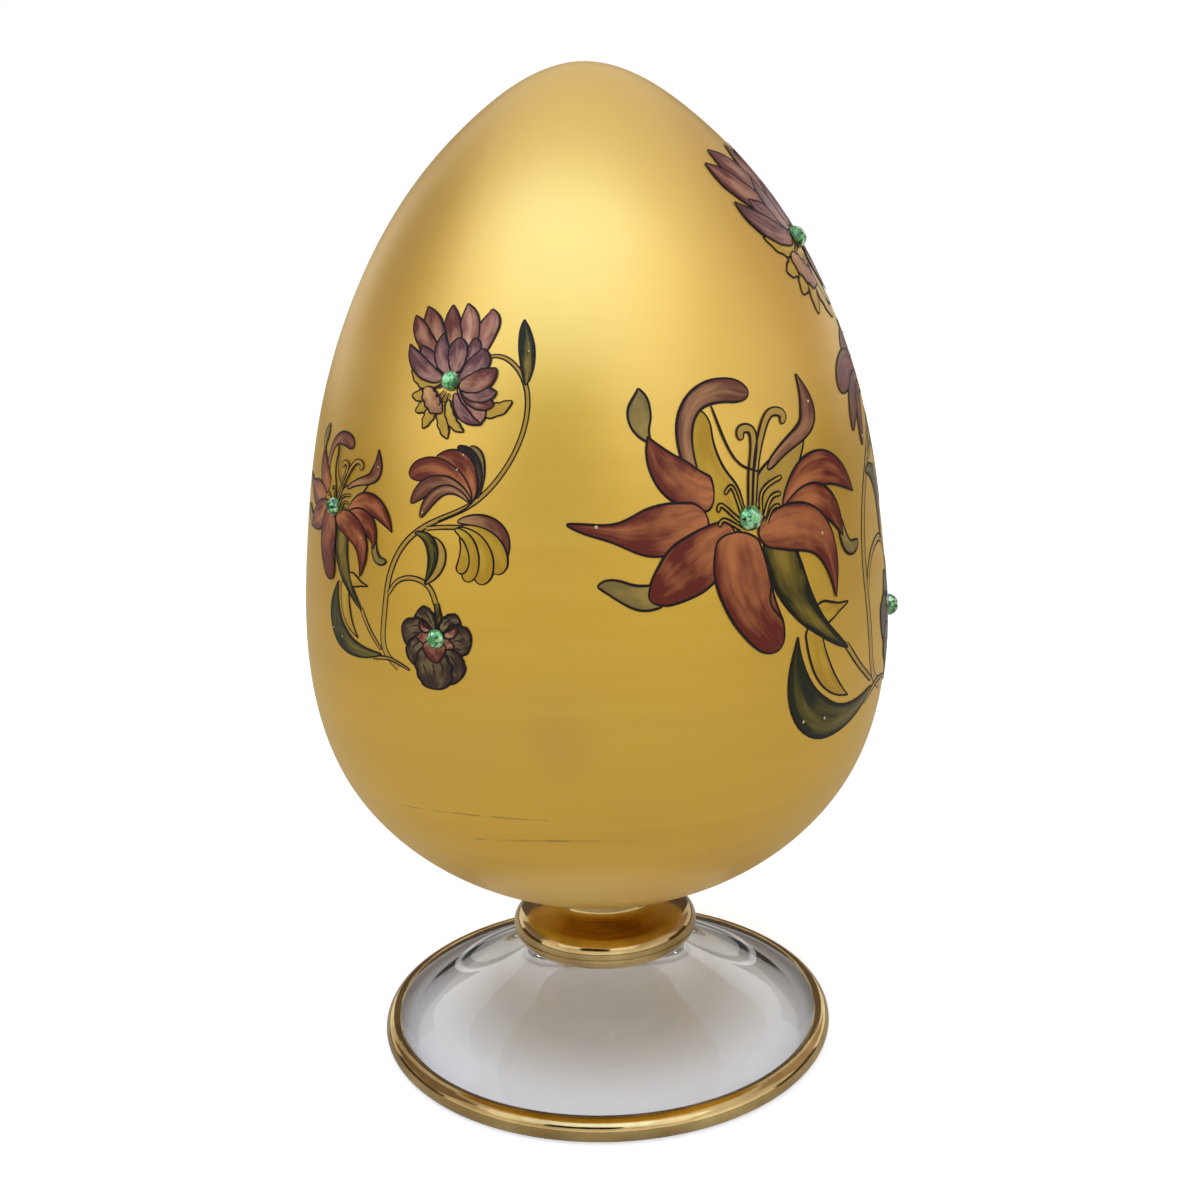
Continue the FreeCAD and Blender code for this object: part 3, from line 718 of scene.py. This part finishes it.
def add_petal(spray, paints, ink, row, layer):
    """Adds one petal: its coat of paint, an ink line along each side, and any veins."""
    paint, midrib, half_widths = row
    left, right = petal_sides(midrib, half_widths, FRILL_SHARES.get(paint, 0.0))
    share = np.linspace(0, 1, PETAL_COLUMNS)
    flat = left[:, None] * (1 - share)[:, None] + right[:, None] * share[:, None]
    base = layer * LAYER_RISE
    crown = PETAL_CROWN * np.sqrt(np.clip(1 - (2 * share - 1) ** 2, 0, 1))
    columns = [spray.on_egg(flat[:, j], base + crown[j]) for j in range(PETAL_COLUMNS)]
    coat = paints.setdefault(paint, Paint())
    coat.add_grid(np.stack(columns, 1), share, even_ends(PETAL_STEPS), random.random())
    for line in (left, right):
        add_stroke(spray, ink, line, base + INK_RISE, OUTLINE_SHARES.get(paint, 1.0))
    count = VEIN_COUNTS.get(paint, 0)
    for k in range(count):
        place = (k + 1) / (count + 1)
        start = int(PETAL_STEPS * (VEIN_START_SHARE + random.uniform(0, VEIN_START_SPREAD_SHARE)))
        vein = (left * (1 - place) + right * place)[start : int(PETAL_STEPS * VEIN_END_SHARE)]
        add_stroke(spray, ink, vein, base + INK_RISE, VEIN_WIDTH_SHARE)


def curve_through(places):
    """A flat smooth line through places, closely stepped."""
    places = np.array(places) / THOUSANDTHS
    first, last = places[1] - places[0], places[-1] - places[-2]
    spline = clamped_spline(places, first / np.linalg.norm(first), last / np.linalg.norm(last))
    steps = np.linspace(0, spline[0][-1], STEM_STEPS_PER_SPAN * (len(places) - 1) + 1)
    return spline_value(spline, steps)[0]


def add_stem(spray, paints, ink, row, layer):
    """Adds one stem or stamen: a ribbon of paint between two lines of ink."""
    paint, places, *widths = row
    middle = curve_through(places)
    t = np.linspace(0, 1, len(middle))
    root_width, tip_width = np.array(widths) / THOUSANDTHS
    half = (root_width + (tip_width - root_width) * t) / 2 * round_tip(t, STEM_TIP_SHARE)
    side = sideways(middle)
    base = layer * LAYER_RISE
    share = np.linspace(-1, 1, STEM_COLUMNS)
    columns = [spray.on_egg(middle + side * (k * half)[:, None], base) for k in share]
    coat = paints.setdefault(paint, Paint())
    coat.add_grid(np.stack(columns, 1), (share + 1) / 2, t, random.random())
    for sign in (1, -1):
        line = middle + side * (sign * half)[:, None]
        add_stroke(spray, ink, line, base + INK_RISE, STEM_INK_SHARE)


def add_blister(spray, paint, place, lift):
    """Adds a tiny round bubble of the glaze."""
    turns = np.linspace(0, math.tau, BLISTER_STEPS * 2 + 1)
    rows = []
    for step in range(BLISTER_STEPS + 1):
        slope = math.pi / 2 * step / BLISTER_STEPS
        radius = BLISTER_RADIUS_SHARE * math.cos(slope)
        ring = np.stack([place[0] + radius * np.cos(turns), place[1] + radius * np.sin(turns)], 1)
        rows.append(spray.on_egg(ring, lift + BLISTER_RADIUS_SHARE / 2 * spray.size * math.sin(slope)))
    paint.add_grid(np.stack(rows), np.zeros(len(turns)), np.zeros(len(rows)), BLISTER_SEED)


# Nodes of materials


def set_inputs(node, inputs):
    """Gives a node's inputs their values, or links them to the outputs of other nodes."""
    for key, value in inputs.items():
        if isinstance(value, bpy.types.NodeSocket):
            node.id_data.links.new(value, node.inputs[key])
        else:
            node.inputs[key].default_value = value


def node_maker(tree):
    """A function that adds nodes to a tree, with their inputs and settings."""

    def add(kind, inputs=None, **settings):
        node = tree.nodes.new(f"ShaderNode{kind}")
        for key, value in settings.items():
            setattr(node, key, value)
        set_inputs(node, inputs or {})
        return node

    return add


def new_material(name):
    """A new material with its Principled shader, and the function that adds its nodes."""
    material = bpy.data.materials.new(name)
    material.use_nodes = True
    return material, material.node_tree.nodes["Principled BSDF"], node_maker(material.node_tree)


def bare_material(name):
    """A new material with only its output, and the function that adds its nodes."""
    material, _, add = new_material(name)
    material.node_tree.nodes.clear()
    return material, add("OutputMaterial"), add


def noise(add, place, grain):
    """A noise texture's value at a place."""
    scale, layers, roughness = grain
    inputs = {"Vector": place, "Scale": scale, "Detail": layers, "Roughness": roughness}
    return add("TexNoise", inputs).outputs["Fac"]


def object_place(add):
    """The point's own place on the object."""
    return add("TexCoord").outputs["Object"]


def attribute(add, name):
    """A value stored on the mesh."""
    return add("Attribute", attribute_name=name).outputs["Fac"]


def spread(add, value, span, to=(0.0, 1.0)):
    """A value moved from one range to another, held at its ends."""
    inputs = {"Value": value, "From Min": span[0], "From Max": span[1], "To Min": to[0], "To Max": to[1]}
    return add("MapRange", inputs).outputs["Result"]


def maths(add, operation, a, b=0.0, c=0.0):
    """One step of arithmetic on one, two or three values."""
    return add("Math", {0: a, 1: b, 2: c}, operation=operation).outputs["Value"]


def product(add, first, *others):
    """Values multiplied with each other."""
    for other in others:
        first = maths(add, "MULTIPLY", first, other)
    return first


def blend_colours(add, share, low, high):
    """A colour between two others."""
    low = (*low, 1.0) if isinstance(low, tuple) else low
    high = (*high, 1.0) if isinstance(high, tuple) else high
    return add("Mix", {0: share, 6: low, 7: high}, data_type="RGBA").outputs[2]


def bump(add, height, size):
    """A bumped normal, its size given as strength and depth."""
    inputs = {"Strength": size[0], "Distance": size[1], "Height": height}
    return add("Bump", inputs).outputs["Normal"]


def combined(add, x, y, z):
    """A vector from three values."""
    return add("CombineXYZ", {0: x, 1: y, 2: z}).outputs["Vector"]


def separated(add, vector):
    """The three values of a vector."""
    node = add("SeparateXYZ", {"Vector": vector})
    return node.outputs["X"], node.outputs["Y"], node.outputs["Z"]


def stretched(add, place, waves):
    """A place with its three directions counted in waves, so that a noise on it runs in lines."""
    return add("VectorMath", {0: place, 1: waves}, operation="MULTIPLY").outputs["Vector"]


# Materials


def scratch(add, place, start, end, width):
    """How much a fine nearly level scratch marks a place on the front of the egg."""
    x, y, z = place
    (first_x, first_z), (last_x, last_z) = start, end
    share = maths(add, "DIVIDE", maths(add, "SUBTRACT", x, first_x), last_x - first_x)
    bow = product(add, maths(add, "SINE", product(add, share, math.pi)), width * SCRATCH_BOW_SHARE)
    line = maths(add, "ADD", maths(add, "MULTIPLY_ADD", share, last_z - first_z, first_z), bow)
    off = maths(add, "ABSOLUTE", maths(add, "SUBTRACT", z, line))
    near = spread(add, off, (0.0, width), (1.0, 0.0))
    begun = spread(add, share, (0.0, SCRATCH_FADE_SHARE))
    unended = spread(add, share, (1.0 - SCRATCH_FADE_SHARE, 1.0), (1.0, 0.0))
    front = maths(add, "LESS_THAN", y, 0.0)
    return product(add, begun, unended, near, front)


def lacquer_material():
    """Satin gold lacquer: fine metal flake, faint level bands, rubs, two fine scratches, a smudge and a
    painted highlight toward the top.
    """
    material, shader, add = new_material("gold_lacquer")
    place = object_place(add)
    x, y, z = separated(add, place)
    bands = noise(add, stretched(add, place, BANDS_PER_METRE), BAND_GRAIN)
    cloud = noise(add, place, CLOUD_GRAIN)
    flake = noise(add, place, FLAKE_GRAIN)
    worn = spread(add, noise(add, place, WORN_GRAIN), WORN_SPAN, WORN_SHARES)
    colour = blend_colours(add, spread(add, bands, EVEN_SPAN), LACQUER_DEEP, LACQUER_LIGHT)
    # Painted highlight: the colour pales toward the top of the egg, where the lamps light it most.
    colour = blend_colours(add, spread(add, z, LACQUER_HIGHLIGHT_LEVELS), colour, LACQUER_PAINTED_HIGHLIGHT)
    colour = blend_colours(add, spread(add, cloud, RUB_SPAN, (0.0, RUB_SHARE)), colour, LACQUER_RUBBED)
    colour = blend_colours(add, spread(add, flake, FLAKE_SPAN, (0.0, FLAKE_SHARE)), colour, LACQUER_FLAKE)
    for start, end, width in SCRATCHES:
        share = product(add, scratch(add, (x, y, z), start, end, width), worn)
        colour = blend_colours(add, share, colour, LACQUER_SOILED)
    away = add("VectorMath", {0: place, 1: SMUDGE_PLACE}, operation="DISTANCE").outputs["Value"]
    smudge = spread(add, away, (0.0, SMUDGE_RADIUS), (SMUDGE_SHARE, 0.0))
    set_inputs(shader, {
        "Base Color": blend_colours(add, smudge, colour, LACQUER_SOILED),
        "Roughness": spread(add, cloud, ROUGH_SPAN, LACQUER_ROUGHNESS),
        "Normal": bump(add, flake, FLAKE_BUMP),
        **LACQUER_FINISH,
    })
    return material


def gilding_material(name):
    """Mirror gilding: bright, slightly wavy and faintly clouded."""
    material, shader, add = new_material(name)
    place = object_place(add)
    cloud = spread(add, noise(add, place, GILT_CLOUD_GRAIN), CLOUD_SPAN)
    set_inputs(shader, {
        "Base Color": blend_colours(add, cloud, GILT_DEEP, GILT_LIGHT),
        "Metallic": 1.0,
        "Roughness": spread(add, noise(add, place, GILT_FINE_GRAIN), GILT_FINE_SPAN, GILT_ROUGHNESS),
        "Normal": bump(add, noise(add, place, GILT_RIPPLE_GRAIN), GILT_RIPPLE_BUMP),
    })
    return material


def gilding_back_material():
    """The gilding as seen from behind through the glass: dull grey brown, with pale hairlines painted as
    highlights.
    """
    material, shader, add = new_material("gilding_back")
    lines = noise(add, stretched(add, object_place(add), HAIRLINES_PER_METRE), HAIRLINE_GRAIN)
    set_inputs(shader, {
        # Painted highlight: the pale hairlines stand in for thin lines of light on the back of the rim.
        "Base Color": blend_colours(add, spread(add, lines, HAIRLINE_GLINT_SPAN), GILT_BACK, GILT_BACK_PAINTED_GLINT),
        "Roughness": spread(add, lines, ROUGH_SPAN, GILT_BACK_ROUGHNESS),
        "Metallic": GILT_BACK_METAL_SHARE,
    })
    return material


def clear_glass_material(name):
    """Clear glass with the faint waviness and fine marks of hand-finished ware, and a ring of painted
    shade.
    """
    material, shader, add = new_material(name)
    place = object_place(add)
    mark = noise(add, place, GLASS_MARK_GRAIN)
    x, y, _ = separated(add, place)
    # Painted shade: the glass darkens in a ring round the stem, standing in for the egg's shadow seen
    # through the foot.
    away = maths(add, "SQRT", maths(add, "ADD", maths(add, "POWER", x, 2.0), maths(add, "POWER", y, 2.0)))
    inner = spread(add, away, (GLASS_NECK_RADIUS, GLASS_SHADE_INNER), (GLASS_NECK_SHARE, 1.0))
    outer = spread(add, away, (GLASS_SHADE_INNER, GLASS_SHADE_OUTER), (1.0, 0.0))
    colour = blend_colours(add, maths(add, "MINIMUM", inner, outer), GLASS_CLEAR, GLASS_PAINTED_SHADE)
    marked = spread(add, mark, GLASS_MARK_SPAN, (0.0, GLASS_MARK_SHARE))
    wavy = bump(add, noise(add, place, GLASS_WAVE_GRAIN), GLASS_WAVE_BUMP)
    set_inputs(shader, {
        "Base Color": blend_colours(add, marked, colour, GLASS_MARKED),
        "Roughness": spread(add, mark, GLASS_ROUGH_SPAN, GLASS_ROUGHNESS),
        "Normal": wavy,
        "Coat Normal": wavy,
        **GLASS_FINISH,
    })
    return material


def enamel_material(name, light, deep, edge_share):
    """Enamel laid on by brush: light at the root and middle, deep at tip and edges, with strokes."""
    material, shader, add = new_material(name)
    across, along, seed = [attribute(add, key) for key in ("across", "along", "seed")]
    shift = product(add, seed, SEED_SPREAD)

    def petal_noise(waves, grain):
        """A noise laid on each petal in a place of its own, its waves counted across and along."""
        x = maths(add, "MULTIPLY_ADD", across, waves[0], shift)
        return noise(add, combined(add, x, product(add, along, waves[1]), shift), grain)

    strokes = petal_noise(STROKE_WAVES, STROKE_GRAIN)
    patches = petal_noise(PATCH_WAVES, PATCH_GRAIN)
    off = maths(add, "ABSOLUTE", maths(add, "MULTIPLY_ADD", across, 2.0, -1.0))
    depth = product(add, along, TIP_DEPTH_SHARE)
    depth = maths(add, "MULTIPLY_ADD", maths(add, "POWER", off, EDGE_POWER), edge_share, depth)
    depth = maths(add, "ADD", depth, spread(add, strokes, EVEN_SPAN, STROKE_DEPTH_SHARES))
    depth = maths(add, "ADD", depth, spread(add, patches, EVEN_SPAN, PATCH_DEPTH_SHARES))
    grain = noise(add, object_place(add), ENAMEL_GRAIN)
    set_inputs(shader, {
        "Base Color": blend_colours(add, spread(add, depth, PAINT_DEPTH_SPAN), light, deep),
        "Roughness": spread(add, strokes, ROUGH_SPAN, ENAMEL_ROUGHNESS),
        "Normal": bump(add, grain, ENAMEL_BUMP),
        "Specular IOR Level": ENAMEL_GLOSS_SHARE,
    })
    return material


def ink_material():
    """Thin dark enamel lines with a soft gloss."""
    material, shader, add = new_material("ink_enamel")
    grain = noise(add, object_place(add), INK_GRAIN)
    set_inputs(shader, {
        "Base Color": blend_colours(add, spread(add, grain, CLOUD_SPAN), INK_COLOUR, INK_THIN_COLOUR),
        "Roughness": spread(add, grain, ROUGH_SPAN, INK_ROUGHNESS),
        "Specular IOR Level": INK_GLOSS_SHARE,
    })
    return material


def crystal_material():
    """Foil-backed green crystal: each facet gets its own painted light, from painted shade to a painted
    glint.
    """
    material, shader, add = new_material("green_crystal")
    cloud = spread(add, noise(add, object_place(add), CRYSTAL_GRAIN), EVEN_SPAN, CRYSTAL_CLOUD_SHARES)
    # Painted light: a random share per facet picks its colour, from painted shade through green to a
    # painted glint.
    share = maths(add, "ADD", attribute(add, "facet"), cloud)
    colour = blend_colours(add, spread(add, share, CRYSTAL_GREEN_SPAN), CRYSTAL_PAINTED_SHADE, CRYSTAL_GREEN)
    set_inputs(shader, {
        "Base Color": blend_colours(add, spread(add, share, CRYSTAL_GLINT_SPAN), colour, CRYSTAL_PAINTED_GLINT),
        **CRYSTAL_FINISH,
    })
    return material


def cement_material():
    """The glossy bead of jewel cement round a crystal."""
    material, shader, add = new_material("cement")
    grain = spread(add, noise(add, object_place(add), CEMENT_GRAIN), CLOUD_SPAN)
    set_inputs(shader, {
        "Base Color": blend_colours(add, grain, CEMENT_DEEP, CEMENT_LIGHT),
        "Roughness": CEMENT_ROUGHNESS,
    })
    return material


# Turned pieces


def turned(name, outline, material, segments=TURNED_SEGMENTS, closed=False):
    """A piece turned about Z from (radius, height) points."""
    angles = np.linspace(0, math.tau, segments, endpoint=False)
    ring = np.stack([np.sin(angles), -np.cos(angles)], 1)
    vertices = []
    for radius, height in np.array(outline, float):
        vertices.extend([(radius * c, radius * s, height) for c, s in ring])
    faces = []
    rows = len(outline)
    for i in range(rows if closed else rows - 1):
        upper = (i + 1) % rows
        for j in range(segments):
            k = (j + 1) % segments
            faces.append((i * segments + j, i * segments + k, upper * segments + k, upper * segments + j))
    mesh = new_mesh(name, vertices, faces)
    mesh.update()
    weld(mesh)
    return finished(name, mesh, material)


def weld(mesh):
    """Joins the points that lie together on the axis, and points every face outwards."""
    work = bmesh.new()
    work.from_mesh(mesh)
    bmesh.ops.remove_doubles(work, verts=work.verts, dist=WELD_DISTANCE)
    bmesh.ops.recalc_face_normals(work, faces=work.faces)
    work.to_mesh(mesh)
    work.free()


def arc_points(centre, radius, start, end, steps):
    """Points of an arc in the (radius, height) plane."""
    turns = np.linspace(start, end, steps)
    return [(centre[0] + radius * math.cos(a), centre[1] + radius * math.sin(a)) for a in turns]


def lacquer():
    """The lacquered surface of the egg."""
    outline = meridian(0.0)
    points = spline_value(outline, np.linspace(0, outline[0][-1], EGG_RINGS))[0]
    return turned("egg_lacquer", points, lacquer_material(), EGG_SEGMENTS)


def collar():
    """The gilded bead and neck."""
    centre = (COLLAR_EDGE_MIDDLE, COLLAR_EDGE_LEVEL)
    bead = arc_points(centre, COLLAR_EDGE_RADIUS, -math.pi / 2, SHOULDER_TURN, BEAD_STEPS)
    throat = (NECK_RADIUS, STEM_TOP + COLLAR_EDGE_HEIGHT + THROAT_RISE)
    slope = (-math.sin(SHOULDER_TURN), math.cos(SHOULDER_TURN))
    neck = clamped_spline([bead[-1], throat], slope, (0, 1))
    rise = [tuple(p) for p in spline_value(neck, np.linspace(0, neck[0][-1], THROAT_STEPS))[0]]
    top = (NECK_RADIUS, EGG_CLEARANCE + NECK_TOP_RISE)
    outline = [(STEM_RADIUS, STEM_TOP)] + bead + rise[1:] + [top]
    return turned("collar_gold", outline, gilding_material("mirror_gold"))


def foot_outline(skin):
    """The foot's outline, its rim set in by a skin, from the axis above to the axis below."""
    radius = RIM_RADIUS - skin
    rim_top = RIM_RADIUS + radius
    steps = np.linspace(0, 1, FLARE_STEPS)[::-1]
    flare = []
    for share in steps:
        height = rim_top + (STEM_TOP - rim_top) * share**FLARE_POWER_SHARE
        flare.append((RIM_MIDDLE - share * (RIM_MIDDLE - STEM_RADIUS), height))
    edge = arc_points((RIM_MIDDLE, RIM_RADIUS), radius, math.pi / 2, RIM_EDGE_TURN, RIM_STEPS)
    rest = [(RIM_MIDDLE, 0.0), (HOLLOW_RADIUS, 0.0)]
    hollow = [(HOLLOW_RADIUS * s, HOLLOW_HEIGHT * (1 - s**HOLLOW_POWER_SHARE)) for s in steps]
    return [(0.0, STEM_TOP)] + flare + edge[1:] + rest + hollow[1:]


def foot():
    """The clear glass foot, which lets the light through to the floor."""
    piece = turned("foot_glass", foot_outline(GILT_THICKNESS), clear_glass_material("clear_glass"))
    piece.visible_shadow = False
    return piece


def rim_outline(skin):
    """The part of the foot's outline that the gilding covers, set in by a skin."""
    edge = FOOT_DIAMETER / 2 - RIM_BAND_WIDTH
    return [place for place in foot_outline(skin) if place[0] > edge and place[1] > RIM_BAND_BASE]


def rim():
    """The gilded band on the foot's rim, closed on its inner side against the glass."""
    outline = rim_outline(0.0) + rim_outline(GILT_THICKNESS * GILT_SKIN_SHARE)[::-1]
    piece = turned("rim_gold", outline, gilding_material("rim_gold"), closed=True)
    piece.data.materials.append(gilding_back_material())
    for face in piece.data.polygons:
        out = Vector((face.center.x, face.center.y, 0)).normalized()
        inward = out * RIM_MIDDLE + Vector((0, 0, RIM_RADIUS)) - face.center
        face.material_index = 1 if face.normal.dot(inward) > 0 else 0
    return piece


# Crystals


def crystal(spray, flower, material):
    """A faceted flat-backed stone on its flower."""
    size = spray.crystal_diameter
    n = CRYSTAL_SIDES
    vertices = []
    for radius, height, turn in CRYSTAL_RING_SHARES:
        for side in range(n):
            angle = math.tau * (side + turn) / n
            x = radius * size * math.cos(angle)
            y = radius * size * math.sin(angle)
            vertices.append(Vector((x, y, height * size)))
    faces = [tuple(range(n))[::-1], tuple(range(3 * n, 4 * n))]
    for side in range(n):
        after = (side + 1) % n
        faces.append((side, after, n + after, n + side))
        faces.append((n + side, n + after, 2 * n + side))
        faces.append((2 * n + side, n + after, 2 * n + after))
        faces.append((2 * n + side, 3 * n + after, 3 * n + side))
        faces.append((2 * n + side, 2 * n + after, 3 * n + after))
    place = CRYSTAL_PLACE_SHARES[flower]
    seat = Vector(spray.on_egg(place, CRYSTAL_LIFT))
    outward = (Vector(spray.on_egg(place, 2 * CRYSTAL_LIFT)) - seat).normalized()
    stand = Matrix.Translation(seat) @ outward.to_track_quat("Z", "Y").to_matrix().to_4x4()
    name = f"{spray.name}_{flower}_stone"
    mesh = new_mesh(name, [stand @ v for v in vertices], faces)
    facet = mesh.attributes.new("facet", "FLOAT", "FACE")
    facet.data.foreach_set("value", [random.random() for _ in faces])
    return finished(name, mesh, material, smooth=False)


# Building the object


def stand_for(piece, slot, *nodes):
    """Puts a piece on the object's body, in place of solids."""
    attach(piece, "root")
    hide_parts(*nodes)


def painted(node, paints, lines, paint_materials, ink):
    """Puts the coats of paint and the ink of one motif on the object."""
    for paint, data in paints.items():
        stand_for(data.build(f"{node}_{paint}", paint_materials[paint]), PAINTS[paint][2], node)
    stand_for(lines.build(f"{node}_outline", ink), "ink_enamel", node)


def spray_pieces(spray, paint_materials, ink, stone):
    """Every painted motif and stone of one spray."""
    for motif, rows in MOTIFS.items():
        paints, lines = {}, Paint()
        first = FIRST_LAYERS.get(motif, FIRST_LAYER)
        top = first + len(rows)
        for layer, row in enumerate(rows, first):
            add_petal(spray, paints, lines, row, layer)
        for fold in FOLDS.get(motif, ()):
            add_stroke(spray, lines, curve_through(fold), top * LAYER_RISE)
        if motif == "lily":
            for row in STAMENS:
                add_stem(spray, paints, lines, row, top)
            blisters = Paint()
            for place in BLISTER_PLACE_SHARES:
                add_blister(spray, blisters, place, top * LAYER_RISE)
            piece = blisters.build(f"{spray.name}_blisters", paint_materials["cream_glint"])
            stand_for(piece, PAINTS["cream_glint"][2], f"{spray.name}_lily")
        painted(f"{spray.name}_{motif}", paints, lines, paint_materials, ink)
    paints, lines = {}, Paint()
    for layer, row in enumerate(STEMS):
        add_stem(spray, paints, lines, row, layer)
    painted(f"{spray.name}_stems", paints, lines, paint_materials, ink)
    for flower in CRYSTAL_PLACE_SHARES:
        stand_for(crystal(spray, flower, stone), "green_crystal", f"{spray.name}_{flower}_crystal")


def repaint(node, material):
    """Gives a solid a material."""
    data = frame["nodes"][node].data
    data.materials.clear()
    data.materials.append(material)


def build_object():
    """Every piece of the egg and its stand."""
    stand_for(lacquer(), "gold_lacquer", "lacquer_coat")
    stand_for(collar(), "mirror_gold", "collar_gilding")
    stand_for(foot(), "clear_glass", "foot")
    stand_for(rim(), "mirror_gold", "rim_gilding")
    glass = clear_glass_material("inner_glass")
    repaint("egg_shell", glass)
    repaint("collar_bead", glass)
    cement = cement_material()
    paint_materials = {}
    for name, (light, deep, _) in PAINTS.items():
        edge_share = EDGE_DEPTH_SHARES.get(name, EDGE_DEPTH_SHARE)
        paint_materials[name] = enamel_material(f"{name}_enamel", light, deep, edge_share)
    ink, stone = ink_material(), crystal_material()
    for name, azimuth, sizes in SPRAYS:
        spray_pieces(Spray(name, azimuth, sizes), paint_materials, ink, stone)
        repaint(f"{name}_cement", cement)


# Stage, light and camera


def floor_material():
    """White to the eye, and a grey of its own for gloss and for the view through glass."""
    material, output, add = bare_material("floor")
    path = add("LightPath").outputs
    white = add("BsdfDiffuse", {"Color": (*FLOOR_WHITE, 1.0)})
    lift = add("Emission", {"Color": (*FLOOR_LIFT, 1.0)})
    bright = add("AddShader", {0: white.outputs[0], 1: lift.outputs[0]})
    through = blend_colours(add, path["Is Transmission Ray"], FLOOR_GREY, FLOOR_THROUGH_GLASS)
    grey = add("BsdfDiffuse", {"Color": through})
    mix = add("MixShader", {0: path["Is Camera Ray"], 1: grey.outputs[0], 2: bright.outputs[0]})
    set_inputs(output, {"Surface": mix.outputs[0]})
    return material


def floor():
    """A plain pale floor."""
    ticks = np.linspace(-FLOOR_HALF_WIDTH, FLOOR_HALF_WIDTH, FLOOR_DIVISIONS + 1)
    vertices = [(x, y, -FLOOR_DROP) for y in ticks for x in ticks]
    mesh = new_mesh("floor", vertices, grid_faces(len(ticks), len(ticks)))
    finished("floor", mesh, floor_material())


def world():
    """White to the eye and through glass; as a light, a pale room with a dark line at its horizon."""
    sky = bpy.data.worlds.new("studio")
    bpy.context.scene.world = sky
    sky.use_nodes = True
    add = node_maker(sky.node_tree)
    path = add("LightPath").outputs
    seen = maths(add, "MAXIMUM", path["Is Camera Ray"], path["Is Transmission Ray"])
    _, _, height = separated(add, add("TexCoord").outputs["Generated"])
    ramp = add("ValToRGB", {0: height})
    steps = ramp.color_ramp.elements
    while len(steps) < len(WORLD_STEPS):
        steps.new(RAMP_MIDDLE_SHARE)
    for step, (at, level) in zip(steps, WORLD_STEPS):
        step.position = at
        step.color = (level, level, level, 1.0)
    colour = blend_colours(add, seen, ramp.outputs["Color"], WHITE)
    set_inputs(sky.node_tree.nodes["Background"], {"Color": colour})


def facing(piece, azimuth, elevation, distance, height):
    """Places a lamp or card at a direction and distance from a height on the axis, facing it."""
    a, e = math.radians(azimuth), math.radians(elevation)
    out = Vector((math.sin(a) * math.cos(e), -math.cos(a) * math.cos(e), math.sin(e)))
    piece.location = Vector((0, 0, height)) + out * distance
    piece.rotation_euler = out.to_track_quat("Z", "Y").to_euler()


def card(name, azimuth, elevation, distance, width, height, level):
    """A grey card or wall of the studio, which only the gloss of the object shows."""
    material, output, add = bare_material(name)
    colour = [level * share for share in CARD_TINT_SHARES]
    glow = add("Emission", {"Color": (*colour, 1.0)})
    set_inputs(output, {"Surface": glow.outputs[0]})
    x, y = width / 2, height / 2
    mesh = new_mesh(name, [(-x, -y, 0), (x, -y, 0), (x, y, 0), (-x, y, 0)], [(0, 1, 2, 3)])
    piece = finished(name, mesh, material)
    facing(piece, azimuth, elevation, distance, COLLAR_EDGE_LEVEL)
    piece.visible_camera = False
    piece.visible_diffuse = False
    piece.visible_transmission = False
    piece.visible_shadow = False


def softbox(name, azimuth, elevation, distance, width, height, power, colour):
    """A wide soft lamp that faces the egg's middle."""
    lamp = bpy.data.lights.new(name, "AREA")
    lamp.shape = "RECTANGLE"
    lamp.size = width
    lamp.size_y = height
    lamp.energy = power
    lamp.color = colour
    facing(linked(name, lamp), azimuth, elevation, distance, LAMP_TARGET_HEIGHT)


def camera():
    """The camera of the photograph."""
    data = bpy.data.cameras.new("camera")
    data.lens = CAMERA_LENS
    data.sensor_width = CAMERA_SENSOR
    data.clip_start = CAMERA_NEAR
    piece = linked("camera", data)
    forward = Vector((
        math.sin(CAMERA_YAW) * math.cos(CAMERA_PITCH),
        math.cos(CAMERA_YAW) * math.cos(CAMERA_PITCH),
        -math.sin(CAMERA_PITCH),
    ))
    level = forward.cross(Vector((0, 0, 1))).normalized()
    upright = level.cross(forward)
    right = level * math.cos(CAMERA_ROLL) - upright * math.sin(CAMERA_ROLL)
    up = upright * math.cos(CAMERA_ROLL) + level * math.sin(CAMERA_ROLL)
    turn = Matrix((right, up, -forward)).transposed()
    piece.matrix_world = Matrix.Translation((0, -CAMERA_DISTANCE, CAMERA_HEIGHT)) @ turn.to_4x4()
    bpy.context.scene.camera = piece


camera()
build_object()
floor()
world()
for row in LAMPS:
    softbox(*row)
for row in CARDS:
    card(*row)
bpy.context.scene.view_settings.view_transform = "Standard"
